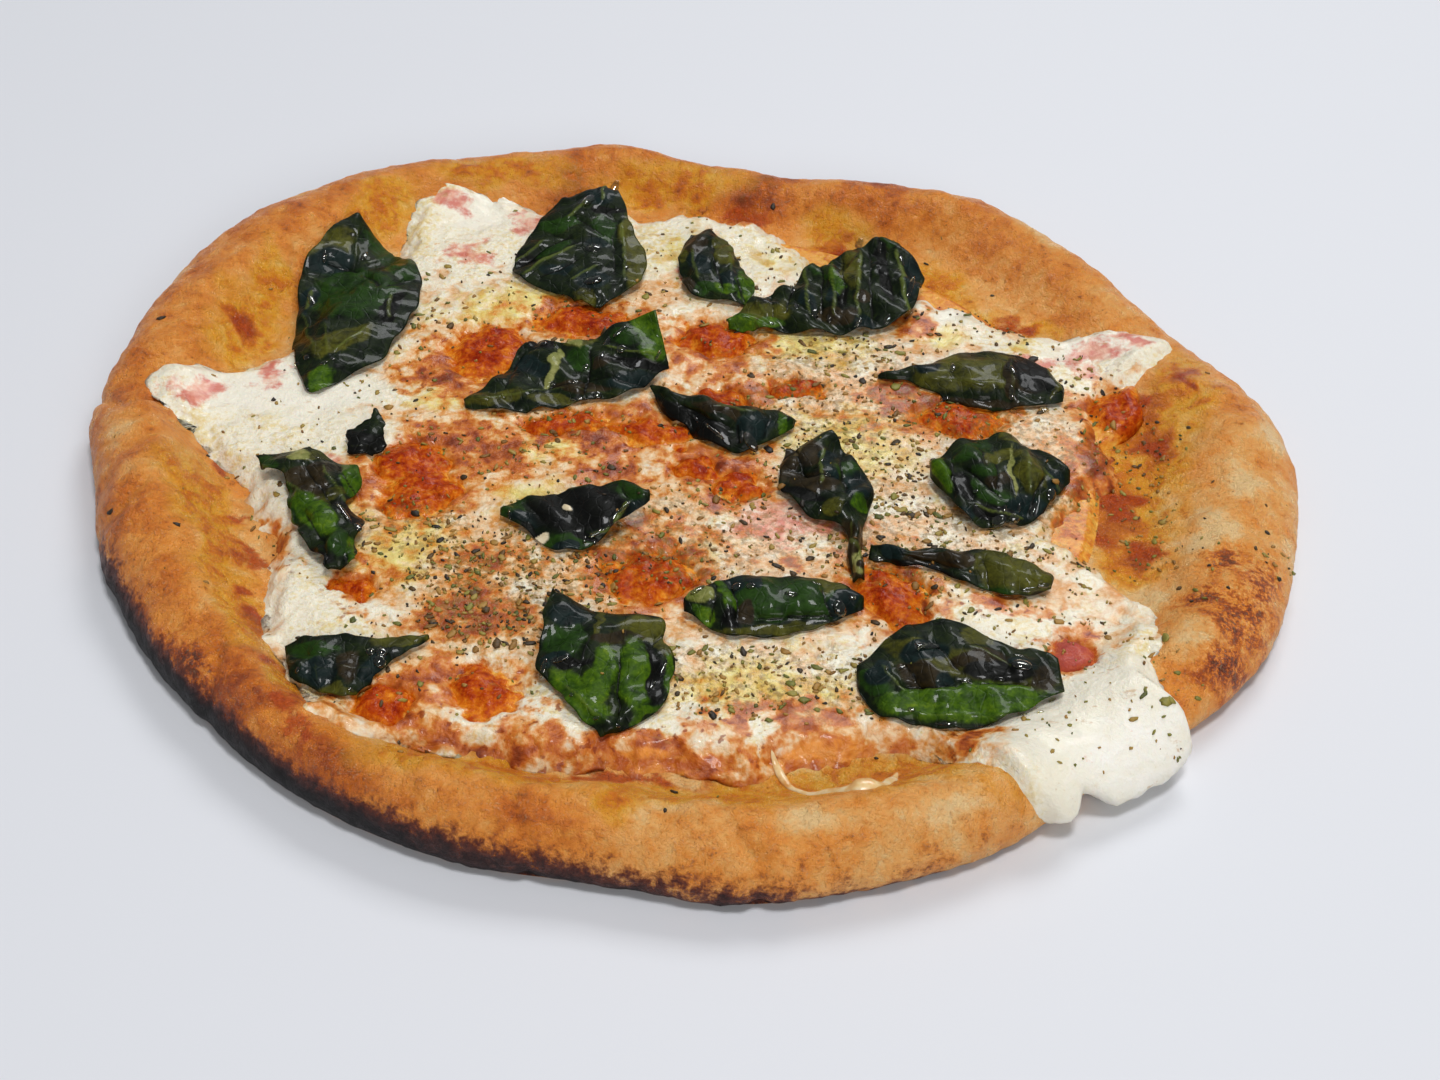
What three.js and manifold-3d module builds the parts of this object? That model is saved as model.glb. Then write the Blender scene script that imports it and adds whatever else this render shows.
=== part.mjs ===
// A 12 inch margherita pizza: a puffed crust, tomato sauce, a sheet of melted mozzarella that has
// run over the rim on one side, lumps of tomato that stand up through the cheese, dried herbs
// and wilted basil leaves. Millimetres, +Z up, standing on Z = 0 with its box centred on the Z axis.
import * as THREE from "three";
import { mergeVertices } from "three/addons/utils/BufferGeometryUtils.js";
import Module from "manifold-3d";

const wasm = await Module();
wasm.setup();

// ---- driving sizes ------------------------------------------------------------------------

const RADIUS = 145; // the crust's plain radius, before its swells
const FLOOR = 4.6; // thickness of the dough under the toppings
const RIM_WIDTH = 30;
const RIM_HEIGHT = 15.5;
const RIM_BELLY = 4.5; // height at which the rim reaches furthest out
const CREST_SHARE = 0.42; // share of the rim's width that lies outside its crest
const UNDERCUT = 35; // degrees that the rim turns back under its belly
const SAUCE_THICK = 1.3;
const SAUCE_MARGIN = 2; // how far the sauce shows past the cheese
const CHEESE_RADIUS = 114;
const CHEESE_THICK = 2.3;
const THIN_EDGE = 0.9; // thickness of the cheese at its edge
const EDGE_ROUNDING = 5; // breadth over which the cheese thins towards its edge
const SPILL_AT = 312; // degrees, the middle of the place where the cheese has run over the rim
const SPILL_SPAN = 11; // degrees to either side
const SPILL_REACH = 43; // how far the spill passes the cheese's plain radius
const SPILL_THICK = 6; // extra cheese on the outside of the rim
const NOTCH_AT = 307.5; // degrees, where the spill parts into two lobes
const NOTCH_SPAN = 2.6;
const NOTCH_SHARE = 0.9; // share of the extra cheese that is missing there
const LEAF_THICK = 0.9;
const GAP = 0.4; // clearance between one layer and the next
const HERB_COUNT = 40;
const SEED = 7;

const SEGMENTS = 96; // steps round the pizza
const FLOOR_STEPS = 7; // from the middle to the foot of the rim
const SLOPE_STEPS = 5; // from the foot to the crest
const OUTER_STEPS = 6; // from the crest to the base
const TIDY = 0.06; // how far simplifying may move a surface
const LEAF_STEP = 7; // along a leaf
const LEAF_STRIPS = 6; // across a leaf

// Uneven places round the rim: the bearing in degrees, how much is added there, and the reach of
// the bell in degrees to either side.
const OUTLINE_SWELLS = [
  { at: 7, add: 9, span: 13 },
  { at: 55, add: 3, span: 6 },
  { at: 82, add: -10.5, span: 19 },
  { at: 102, add: 6.5, span: 8 },
  { at: 127, add: 6.5, span: 10 },
  { at: 148, add: 17.5, span: 22 },
  { at: 178, add: 8.5, span: 10 },
  { at: 198, add: 3.5, span: 9 },
  { at: 263, add: -4, span: 9 },
  { at: 277, add: 2, span: 8 },
  { at: 296, add: 2, span: 10 },
  { at: 312, add: -4, span: 9 },
  { at: 342, add: 9, span: 19 },
];
const WIDTH_SWELLS = [
  { at: 0, add: 12, span: 26 },
  { at: 84, add: -7, span: 15 },
  { at: 146, add: 12, span: 22 },
  { at: 198, add: 7, span: 16 },
  { at: 232, add: -6, span: 14 },
];
const HEIGHT_SWELLS = [
  { at: 24, add: -5.5, span: 9 },
  { at: 84, add: -2.5, span: 15 },
  { at: 148, add: 2.5, span: 18 },
  { at: 176, add: -4, span: 4 },
  { at: 194, add: 3, span: 14 },
  { at: 300, add: 1.5, span: 8 },
  { at: 313, add: -10, span: 10 },
  { at: 352, add: -1.5, span: 18 },
];
const CHEESE_SWELLS = [
  { at: 6, add: -3.5, span: 22 },
  { at: 22, add: 28, span: 7 },
  { at: 56, add: -18.5, span: 19 },
  { at: 68, add: -10, span: 6 },
  { at: 125, add: 21.5, span: 11 },
  { at: 175, add: 27, span: 9 },
  { at: 203, add: -6.5, span: 13 },
  { at: 230, add: 13, span: 19 },
  { at: 290, add: 11, span: 4 },
  { at: 333, add: 26, span: 8 },
  { at: 341, add: -19, span: 11 },
];

// Lumps of crushed tomato: the middle, the size along and across, and the turn of the long side.
const TOMATOES = [
  { x: -66, y: -15, long: 26, wide: 20, turn: 25 },
  { x: -56, y: 42, long: 20, wide: 18, turn: 60 },
  { x: -27, y: 54, long: 22, wide: 12, turn: 10 },
  { x: 4, y: 47, long: 17, wide: 12, turn: 160 },
  { x: -8, y: 6, long: 20, wide: 10, turn: 170 },
  { x: 71, y: 17, long: 22, wide: 12, turn: 0 },
  { x: 112, y: 18, long: 20, wide: 16, turn: 60 },
  { x: 12, y: -17, long: 15, wide: 12, turn: 20 },
  { x: -9, y: -50, long: 20, wide: 15, turn: 15 },
  { x: 53, y: -57, long: 20, wide: 17, turn: 100 },
  { x: 92, y: -72, long: 13, wide: 10, turn: 0 },
  { x: -42, y: -91, long: 17, wide: 13, turn: 130 },
  { x: -64, y: -97, long: 12, wide: 10, turn: 140 },
];

// Basil leaves. x, y: the stalk's end. turn: the bearing from there to the tip. left, right: how
// far each edge is from that line at equal steps. leftUp, rightUp: the edges' height at the stalk,
// the middle and the tip. crown: how far the middle stands above the edges. ripple: the creases.
const LEAVES = [
  {
    name: "basil_01", x: -99, y: 16, turn: 89, long: 77, crown: 3.5, ripple: 0.8,
    left: [1, 8, 11, 12, 11, 1], right: [2, 9, 17, 21, 11, 1], leftUp: [0, 2, 2], rightUp: [0, 4, 2],
  },
  {
    name: "basil_02", x: -29, y: 59, turn: 89, long: 53, crown: 2.5, ripple: 0.9,
    left: [1, 21, 24, 20, 15, 2], right: [2, 12, 13, 9, 5, 1], leftUp: [1, 1, 8], rightUp: [1, 3, 9],
  },
  {
    name: "basil_03", x: 14, y: 63, turn: 119, long: 34, crown: 3, ripple: 1.2,
    left: [1, 9, 13, 11, 8, 1], right: [0, 5, 5, 6, 7, 5], leftUp: [0, 1, 2], rightUp: [0, 1, 2],
  },
  {
    name: "basil_04", x: 10, y: 50, turn: 33, long: 60, crown: 2.5, ripple: 2,
    left: [4, 8, 9, 13, 13, 11], right: [-2, 7, 15, 20, 17, 5], leftUp: [1, 2, 9], rightUp: [0, 1, 4],
  },
  {
    name: "basil_05", x: -59, y: 12, turn: 19, long: 55, crown: 1.5, ripple: 1.3,
    left: [2, 9, 21, 14, 14, 13], right: [1, 6, 7, 7, 7, 1], leftUp: [0, 2, 11], rightUp: [0, 0, 2],
  },
  {
    name: "basil_06", x: 49, y: 32, turn: 355, long: 49, crown: 3, ripple: 0.5,
    left: [1, 5, 12, 14, 12, 2], right: [0, 1, 6, 8, 8, 4], leftUp: [0, 1, 2], rightUp: [0, 0, 1],
  },
  {
    name: "basil_07", x: -11, y: 22, turn: 340, long: 40, crown: 4, ripple: 0.8,
    left: [0, -1, 0, -1, 3, 1], right: [1, 8, 12, 15, 15, 2], leftUp: [1, 2, 1], rightUp: [1, 0, 1],
  },
  {
    name: "basil_08", x: 61, y: -8, turn: 2, long: 35, crown: 4, ripple: 2,
    left: [1, 8, 11, 12, 8, 1], right: [3, 19, 21, 20, 14, 3], leftUp: [3, 2, 1], rightUp: [2, 0, 1],
  },
  {
    name: "basil_09", x: 43, y: -49, turn: 111, long: 50, crown: 3, ripple: 1.8,
    left: [0, -2, -2, 0, 7, 1], right: [1, 4, 8, 15, 13, 9], leftUp: [0, 1, 1], rightUp: [0, 1, 3],
  },
  {
    name: "basil_10", x: -98, y: -13, turn: 289, long: 49, crown: 3, ripple: 1.5,
    left: [2, 12, 11, 11, 7, 3], right: [12, 10, 7, 6, 5, 1], leftUp: [2, 1, 3], rightUp: [3, 1, 3],
  },
  {
    name: "basil_11", x: -45, y: -31, turn: 3, long: 36, crown: 2, ripple: 1,
    left: [1, 4, 5, 6, 6, 2], right: [1, 8, 14, 13, 7, 1], leftUp: [1, 3, 7], rightUp: [1, 0, 6],
  },
  {
    name: "basil_12", x: 45, y: -41, turn: 350, long: 44, crown: 2, ripple: 0.8,
    left: [2, 2, 4, 6, 5, 1], right: [1, 1, 2, 5, 7, 3], leftUp: [2, 2, 2], rightUp: [0, 0, 1],
  },
  {
    name: "basil_13", x: 1, y: -63, turn: 6, long: 42, crown: 3, ripple: 0.8,
    left: [1, 6, 7, 7, 6, 1], right: [2, 9, 10, 9, 7, 2], leftUp: [3, 3, 2], rightUp: [1, 0, 1],
  },
  {
    name: "basil_14", x: -88, y: -86, turn: 15, long: 32, crown: 1, ripple: 0.5,
    left: [5, 5, 4, 2, 1, 1], right: [6, 11, 14, 8, 4, 0], leftUp: [2, 2, 1], rightUp: [1, 0.5, 1],
  },
  {
    name: "basil_15", x: -27, y: -69, turn: 290, long: 37, crown: 2.5, ripple: 1,
    left: [2, 20, 21, 20, 16, 8], right: [2, 7, 11, 8, 6, 1], leftUp: [6, 2, 0], rightUp: [8, 2, 0],
  },
  {
    name: "basil_16", x: 41, y: -80, turn: 4, long: 46, crown: 2.5, ripple: 1,
    left: [0, 5, 8, 8, 3, 0], right: [6, 16, 18, 19, 16, 7], leftUp: [1, 5, 2], rightUp: [0, 0, 1],
  },
  {
    name: "basil_scrap", x: -86, y: -10, turn: 66, long: 15, crown: 1, ripple: 0.6,
    left: [0, 2, 4, 2, 1, 1], right: [2, 5, 7, 5, 3, 0], leftUp: [0, 2, 3], rightUp: [0, 1, 3],
  },
];

// ---- colours ------------------------------------------------------------------------------

const crustFinish = new THREE.MeshStandardMaterial({ color: 0xd9924a, roughness: 0.62, metalness: 0 });
const sauceFinish = new THREE.MeshStandardMaterial({ color: 0xa93a14, roughness: 0.3, metalness: 0 });
const cheeseFinish = new THREE.MeshStandardMaterial({ color: 0xf0e2bd, roughness: 0.34, metalness: 0 });
const leafFinish = new THREE.MeshStandardMaterial({ color: 0x1f3a16, roughness: 0.22, metalness: 0 });

// ---- helpers ------------------------------------------------------------------------------

const { sin, cos, PI } = Math;
const { degToRad, lerp, clamp } = THREE.MathUtils;
const smooth = (share) => THREE.MathUtils.smoothstep(share, 0, 1);
const bearingOf = (x, y) => (Math.atan2(y, x) * 180) / PI;
const around = (r, at, z) => new THREE.Vector3(r * cos(degToRad(at)), r * sin(degToRad(at)), z);

// The angle from one bearing to another, from -180 to 180 degrees.
const turnBetween = (from, to) => ((((to - from) % 360) + 540) % 360) - 180;

// The sum of the bell-shaped swells at a bearing.
function swelled(swells, at) {
  return swells.reduce((sum, s) => sum + s.add * Math.exp(-((turnBetween(s.at, at) / s.span) ** 2)), 0);
}

// Uneven waves round the pizza that meet themselves at 360 degrees.
function wobble(at, count, phase) {
  const a = degToRad(at);
  return (sin(count * a + phase) + 0.6 * sin((2 * count + 1) * a + 2 * phase)) / 1.6;
}

// Soft waves over a plane, from -1 to 1, about six times size from crest to crest.
function waves(x, y, size, phase) {
  const across = sin(x / size + 1.7 * sin((0.7 * y) / size + phase));
  const along = sin((1.3 * y) / size + 1.3 * sin((0.9 * x) / size - phase));
  return (across + along) / 2;
}

// A value at a share from 0 to 1 of a list of evenly spaced values.
function valueAt(list, share) {
  const place = clamp(share, 0, 1) * (list.length - 1);
  const first = Math.min(Math.floor(place), list.length - 2);
  return lerp(list[first], list[first + 1], place - first);
}

// ---- the crust's form ---------------------------------------------------------------------

const outline = (at) => RADIUS + swelled(OUTLINE_SWELLS, at) + 0.9 * wobble(at, 7, 1.1);
const rimWidth = (at) => RIM_WIDTH + swelled(WIDTH_SWELLS, at) + 1.5 * wobble(at, 5, 2.3);
const rimHeight = (at) => RIM_HEIGHT + swelled(HEIGHT_SWELLS, at) + 0.9 * wobble(at, 6, 0.4);
const blisters = ({ x, y }) => 0.8 * waves(x, y, 5.5, 1) + 0.35 * waves(x, y, 2.7, 2);

// A spot on or over the crust's upper skin. travel is -1 at the pizza's middle, 0 at the foot of
// the rim, 1 at its crest and 2 at the base of its outside. rise is the height over the crust.
function skin(travel, at, rise) {
  const edge = outline(at);
  const width = rimWidth(at);
  const crest = edge - CREST_SHARE * width;
  const foot = edge - width;
  if (travel <= 0) return around((travel + 1) * foot, at, FLOOR + rise);
  const height = rimHeight(at);
  if (travel <= 1) {
    const spot = around(lerp(foot, crest, travel), at, lerp(FLOOR, height, smooth(travel)) + rise);
    spot.z += blisters(spot) * smooth(travel);
    return spot;
  }
  const tilt = degToRad((travel - 1) * (90 + UNDERCUT));
  const belly = Math.min(RIM_BELLY, 0.6 * height);
  const z = tilt < PI / 2 ? lerp(belly, height, cos(tilt)) : belly * (1 + cos(tilt) / sin(degToRad(UNDERCUT)));
  const bare = around(crest + (edge - crest) * sin(tilt), at, z);
  bare.z += blisters(bare) * (1 - Math.min(1, tilt));
  return bare.add(around(rise * sin(tilt), at, rise * cos(tilt)));
}

const floorStops = Array.from({ length: FLOOR_STEPS + 1 }, (_, i) => i / FLOOR_STEPS - 1);
const slopeStops = Array.from({ length: SLOPE_STEPS }, (_, i) => (i + 1) / SLOPE_STEPS);
const outerStops = Array.from({ length: OUTER_STEPS }, (_, i) => 1 + (i + 1) / OUTER_STEPS);

// A closed solid between two skins that are split into triangles alike. stops: the travels of its
// rings, the first at the middle. low, high: the skins as functions of travel and bearing.
function slab(stops, low, high) {
  const positions = [];
  for (const place of [low, high]) {
    for (const travel of stops) {
      for (let s = 0; s < SEGMENTS; s++) positions.push(...place(travel, (360 * s) / SEGMENTS));
    }
  }
  const faces = [];
  const corner = (level, ring, s) => (level * stops.length + ring) * SEGMENTS + (s % SEGMENTS);
  for (let s = 0; s < SEGMENTS; s++) {
    for (let ring = 1; ring < stops.length; ring++) {
      for (const level of [0, 1]) {
        const [a, b] = [corner(level, ring - 1, s), corner(level, ring, s)];
        const [c, d] = [corner(level, ring, s + 1), corner(level, ring - 1, s + 1)];
        const quad = ring === 1 ? [[a, b, c]] : [[a, b, c], [a, c, d]];
        for (const face of quad) faces.push(...(level ? face : face.reverse()));
      }
    }
    const last = stops.length - 1;
    const [a, b] = [corner(0, last, s), corner(0, last, s + 1)];
    const [c, d] = [corner(1, last, s + 1), corner(1, last, s)];
    faces.push(a, b, c, a, c, d);
  }
  const geometry = new THREE.BufferGeometry()
    .setAttribute("position", new THREE.Float32BufferAttribute(positions, 3))
    .setIndex(faces);
  return solidOf(geometry);
}

function solidOf(geometry) {
  const bare = geometry.clone().deleteAttribute("normal").deleteAttribute("uv");
  const merged = mergeVertices(bare, 1e-4);
  return new wasm.Manifold(
    new wasm.Mesh({
      numProp: 3,
      vertProperties: new Float32Array(merged.getAttribute("position").array),
      triVerts: new Uint32Array(merged.index.array),
    }),
  );
}

function geometryOf(solid) {
  const { vertProperties, triVerts } = solid.getMesh();
  return new THREE.BufferGeometry()
    .setAttribute("position", new THREE.BufferAttribute(vertProperties, 3))
    .setIndex(new THREE.BufferAttribute(triVerts, 1));
}

// The upright column inside an edge that is given as a radius for each bearing.
function column(edge) {
  const corners = Array.from({ length: 144 }, (_, i) => {
    const spot = around(edge(2.5 * i), 2.5 * i, 0);
    return new THREE.Vector2(spot.x, spot.y);
  });
  const height = 3 * RIM_HEIGHT;
  const geometry = new THREE.ExtrudeGeometry(new THREE.Shape(corners), { depth: height, bevelEnabled: false });
  return solidOf(geometry.translate(0, 0, -RIM_HEIGHT));
}

function crustSolid() {
  const stops = [...floorStops, ...slopeStops, ...outerStops];
  const base = (travel, at) => {
    const share = stops.indexOf(travel) / stops.length;
    return around(share * Math.hypot(skin(2, at, 0).x, skin(2, at, 0).y), at, 0);
  };
  return slab(stops, base, (travel, at) => skin(travel, at, 0));
}

// ---- sauce and cheese ---------------------------------------------------------------------

// 1 in the middle of the spill and 0 away from it: the greater the power, the steeper its flanks.
const spillShare = (at, power) => Math.exp(-(Math.abs(turnBetween(SPILL_AT, at) / SPILL_SPAN) ** power));

function cheeseEdge(at) {
  const ragged = 1.5 * wobble(at, 17, 0.8) + wobble(at, 31, 1.9);
  return CHEESE_RADIUS + swelled(CHEESE_SWELLS, at) + SPILL_REACH * spillShare(at, 4) + ragged;
}

function sauceEdge(at) {
  const spread = cheeseEdge(at) + SAUCE_MARGIN + 2 * wobble(at, 11, 0.2);
  return clamp(spread, CHEESE_RADIUS - 8, outline(at) - 0.66 * rimWidth(at));
}

const sauceRise = (travel) => GAP + SAUCE_THICK * lerp(1, 0.25, smooth(travel));
const cheeseBed = (travel) => sauceRise(travel) + GAP;

function cheeseRise(travel, at) {
  const { x, y } = skin(travel, at, 0);
  const inward = (cheeseEdge(at) - Math.hypot(x, y)) / EDGE_ROUNDING;
  const sheet = CHEESE_THICK * (1 + 0.2 * waves(x, y, 6, 3));
  const notch = NOTCH_SHARE * Math.exp(-((turnBetween(NOTCH_AT, at) / NOTCH_SPAN) ** 2)) * smooth(travel - 1);
  const spill = SPILL_THICK * spillShare(at, 2) * smooth(travel - 0.3) * (1 - notch);
  return cheeseBed(travel) + lerp(THIN_EDGE, sheet, smooth(inward)) + spill;
}

const offTable = (spot) => spot.setZ(Math.max(spot.z, 0.5 * GAP));

// Everything over the crust from the sauce's underside up to a height for each travel.
function overCrust(rise) {
  const stops = [...floorStops, ...slopeStops];
  return slab(
    stops,
    (travel, at) => skin(travel, at, GAP),
    (travel, at) => skin(travel, at, rise(travel)),
  );
}

function cheeseSheet() {
  const stops = [...floorStops, ...slopeStops, ...outerStops.slice(0, -1)];
  const sheet = slab(
    stops,
    (travel, at) => offTable(skin(travel, at, cheeseBed(travel))),
    (travel, at) => offTable(skin(travel, at, cheeseRise(travel, at))),
  );
  return sheet.intersect(column(cheeseEdge));
}

// ---- tomato -------------------------------------------------------------------------------

// A prism from one height to another over a lump's wavy outline, grown by a margin.
function lumpGeometry(lump, margin, low, high) {
  const middle = new THREE.Vector2();
  const corners = Array.from({ length: 13 }, (_, i) => {
    const a = (i / 13) * 2 * PI;
    const uneven = 1 + 0.14 * sin(3 * a + lump.x) + 0.1 * sin(5 * a + lump.y);
    const p = new THREE.Vector2(lump.long * cos(a), lump.wide * sin(a)).multiplyScalar(uneven / 2);
    return p.setLength(p.length() + margin).rotateAround(middle, degToRad(lump.turn));
  });
  const geometry = new THREE.ExtrudeGeometry(new THREE.Shape(corners), { depth: high - low, bevelEnabled: false });
  return geometry.translate(lump.x, lump.y, low);
}

const CHEESE_TOP = FLOOR + 2 * GAP + SAUCE_THICK + CHEESE_THICK;

// A lump rises through its hole in the cheese and narrows to a low, rough top.
function lumpSolid(lump) {
  const geometry = lumpGeometry(lump, -GAP, 0, CHEESE_TOP);
  const position = geometry.getAttribute("position");
  for (let i = 0; i < position.count; i++) {
    if (position.getZ(i) < CHEESE_TOP - 0.01) continue;
    const x = lerp(position.getX(i), lump.x, 0.16);
    const y = lerp(position.getY(i), lump.y, 0.16);
    position.setXYZ(i, x, y, CHEESE_TOP + 0.3 * sin(2.1 * x + y));
  }
  return solidOf(geometry);
}

const holeSolid = (lump) => solidOf(lumpGeometry(lump, 0, 0, 2 * RIM_HEIGHT));

// ---- herbs --------------------------------------------------------------------------------

// Numbers from 0 to 1 that are the same on every run.
function drawer(seed) {
  let state = seed;
  return () => {
    state = (state * 1664525 + 1013904223) % 4294967296;
    return state / 4294967296;
  };
}

// The height of the highest thing under a spot.
function topUnder(meshes, x, y) {
  const ray = new THREE.Raycaster(new THREE.Vector3(x, y, 10 * RIM_HEIGHT), new THREE.Vector3(0, 0, -1));
  return ray.intersectObjects(meshes)[0].point.z;
}

// A bare spot on the cheese: clear of its edge, the tomato and the leaves.
function isBare({ x, y }) {
  const clear = (item, reach) => Math.hypot(item.x - x, item.y - y) > reach;
  const clearOfLeaf = (leaf) => [0.15, 0.5, 0.85].every((share) => clear(spineOf(leaf, share), 0.5 * leaf.long));
  const inside = Math.hypot(x, y) < cheeseEdge(bearingOf(x, y)) - 8;
  return inside && TOMATOES.every((lump) => clear(lump, lump.long / 2 + 4)) && LEAVES.every(clearOfLeaf);
}

function herbSolids(bed) {
  const draw = drawer(SEED);
  const flakes = [];
  while (flakes.length < HERB_COUNT) {
    const spot = around(120 * Math.sqrt(draw()), 360 * draw(), 0);
    const [size, turn] = [0.9 + 0.8 * draw(), PI * draw()];
    if (!isBare(spot)) continue;
    const flake = new THREE.OctahedronGeometry(1).scale(size, 0.6 * size, 0.6).rotateZ(turn);
    flakes.push(solidOf(flake.translate(spot.x, spot.y, topUnder([bed], spot.x, spot.y) + 0.1)));
  }
  return flakes;
}

// ---- basil --------------------------------------------------------------------------------

// The spot at a share of a leaf's length, and a distance to the left of its middle line.
function spineOf(leaf, share, left = 0) {
  const turn = degToRad(leaf.turn);
  const forward = share * leaf.long;
  return { x: leaf.x + forward * cos(turn) - left * sin(turn), y: leaf.y + forward * sin(turn) + left * cos(turn) };
}

// A point of the leaf's middle skin. along: 0 at the stalk, 1 at the tip. side: 0 at the right
// edge, 1 at the left edge.
function leafPoint(leaf, along, side, beds) {
  const { x, y } = spineOf(leaf, along, lerp(-valueAt(leaf.right, along), valueAt(leaf.left, along), side));
  const edge = lerp(valueAt(leaf.rightUp, along), valueAt(leaf.leftUp, along), side);
  const crown = leaf.crown * sin(PI * side) * sin(PI * along) ** 0.5;
  const crease = 0.5 * leaf.ripple * (1 + sin(0.55 * leaf.long * along + 5 * side + leaf.x));
  return [x, y, topUnder(beds, x, y) + GAP + LEAF_THICK + edge + crown + crease];
}

// Two skins split into triangles alike and closed along the margin.
function leafGeometry(leaf, beds) {
  const rows = Math.round(leaf.long / LEAF_STEP) + 1;
  const middle = new THREE.PlaneGeometry(1, 1, LEAF_STRIPS, rows);
  const uv = middle.getAttribute("uv");
  const spots = Array.from({ length: uv.count }, (_, i) => leafPoint(leaf, uv.getY(i), 1 - uv.getX(i), beds));
  middle.setAttribute("position", new THREE.Float32BufferAttribute(spots.flat(), 3));
  middle.computeVertexNormals();
  const position = middle.getAttribute("position");
  const normal = middle.getAttribute("normal");
  const skins = [];
  for (const half of [0.5 * LEAF_THICK, -0.5 * LEAF_THICK]) {
    for (let i = 0; i < position.count; i++) {
      const spot = new THREE.Vector3().fromBufferAttribute(position, i);
      skins.push(...spot.addScaledVector(new THREE.Vector3().fromBufferAttribute(normal, i), half));
    }
  }
  const upper = Array.from(middle.index.array);
  const lower = upper.map((i) => i + position.count).reverse();
  const corner = (row, strip) => row * (LEAF_STRIPS + 1) + strip;
  const margin = [];
  for (let row = 0; row < rows; row++) margin.push(corner(row, 0));
  for (let strip = 0; strip < LEAF_STRIPS; strip++) margin.push(corner(rows, strip));
  for (let row = rows; row > 0; row--) margin.push(corner(row, LEAF_STRIPS));
  for (let strip = LEAF_STRIPS; strip > 0; strip--) margin.push(corner(0, strip));
  const wall = margin.flatMap((a, n) => {
    const b = margin[(n + 1) % margin.length];
    return [b, a, a + position.count, b, a + position.count, b + position.count];
  });
  return new THREE.BufferGeometry()
    .setAttribute("position", new THREE.Float32BufferAttribute(skins, 3))
    .setIndex([...upper, ...lower, ...wall]);
}

// ---- the pizza ----------------------------------------------------------------------------

function part(name, geometry, finish) {
  const mesh = new THREE.Mesh(geometry, finish);
  mesh.name = name;
  return mesh;
}

const crust = part("crust", geometryOf(crustSolid().simplify(TIDY)), crustFinish);
const sheet = cheeseSheet();
const cover = part("cover", geometryOf(sheet), cheeseFinish); // the cheese before it is pierced

let sauce = overCrust(sauceRise).intersect(column(sauceEdge)).simplify(TIDY);
let cheese = sheet.simplify(TIDY);
for (const lump of TOMATOES) {
  sauce = sauce.add(lumpSolid(lump).intersect(overCrust(() => RIM_HEIGHT)));
  cheese = cheese.subtract(holeSolid(lump));
}
for (const flake of herbSolids(cover)) cheese = cheese.add(flake);

const pizza = new THREE.Group();
pizza.add(crust);
pizza.add(part("sauce", geometryOf(sauce), sauceFinish));
pizza.add(part("cheese", geometryOf(cheese), cheeseFinish));
for (const leaf of LEAVES) pizza.add(part(leaf.name, leafGeometry(leaf, [cover, crust]), leafFinish));

// The crust is drawn about the middle of its dough, so the whole is moved to centre its box.
const box = new THREE.Box3().setFromObject(pizza);
pizza.position.set(-(box.min.x + box.max.x) / 2, -(box.min.y + box.max.y) / 2, -box.min.z);

export default pizza;
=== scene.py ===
# %% [markdown]
# # A margherita pizza
#
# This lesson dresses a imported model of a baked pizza. The model is a set of plain faceted solids:
# the dough, the tomato sauce, the melted cheese and seventeen pieces of wilted basil. Each is
# replaced by a finer piece that keeps its form, and gets a finish that is painted with nodes.
#
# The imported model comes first, because its box says how large the finished pizza may be.

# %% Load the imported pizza
import math
import random

import bmesh
import bpy
import numpy as np
from mathutils import Matrix, Vector, noise
from mathutils.bvhtree import BVHTree


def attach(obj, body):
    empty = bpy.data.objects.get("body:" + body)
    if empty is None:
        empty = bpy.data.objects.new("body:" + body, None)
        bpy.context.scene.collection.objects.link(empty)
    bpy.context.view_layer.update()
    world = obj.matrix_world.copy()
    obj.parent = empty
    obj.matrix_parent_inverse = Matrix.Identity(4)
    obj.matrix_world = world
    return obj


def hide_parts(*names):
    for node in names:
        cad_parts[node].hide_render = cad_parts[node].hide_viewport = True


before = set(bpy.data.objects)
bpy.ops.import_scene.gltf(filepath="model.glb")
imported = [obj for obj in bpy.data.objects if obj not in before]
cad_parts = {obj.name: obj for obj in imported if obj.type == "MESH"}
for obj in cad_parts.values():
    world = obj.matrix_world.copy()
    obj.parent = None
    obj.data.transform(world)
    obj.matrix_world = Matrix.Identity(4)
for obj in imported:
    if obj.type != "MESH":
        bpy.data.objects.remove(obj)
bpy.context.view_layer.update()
scene = bpy.context.scene

# %% [markdown]
# ## The camera
#
# The eye stands in front of the pizza and looks down on it at about 41 degrees, close to how a
# diner sees it. The lens is a short telephoto, so the far rim looks almost as large as the near
# one. Blender's camera looks along its own -Z axis, and its Y axis is up, so the three axes of the
# view make up the camera's matrix.

# %% Place the camera
MM = 0.001
MIDDLE = Vector((-0.26, -0.12, 0))  # where the dough's own middle lies in the frame, in mm
EYE = Vector((8.7, -445.8, 361.4))  # from the dough's middle, in mm
RIGHT = Vector((0.99905, 0.02836, 0.03294))
UPWARD = Vector((-0.04347, 0.65185, 0.75710))
LENS = 55.4

camera = bpy.data.objects.new("camera", bpy.data.cameras.new("camera"))
scene.collection.objects.link(camera)
axes = Matrix((RIGHT, UPWARD, RIGHT.cross(UPWARD))).transposed()
camera.matrix_world = Matrix.LocRotScale((EYE + MIDDLE) * MM, axes.to_quaternion(), None)
camera.data.lens = LENS
camera.data.sensor_width = 36
camera.data.clip_start = 0.01
scene.camera = camera
print("camera height:", round(camera.location.z, 3), "m")

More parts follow.
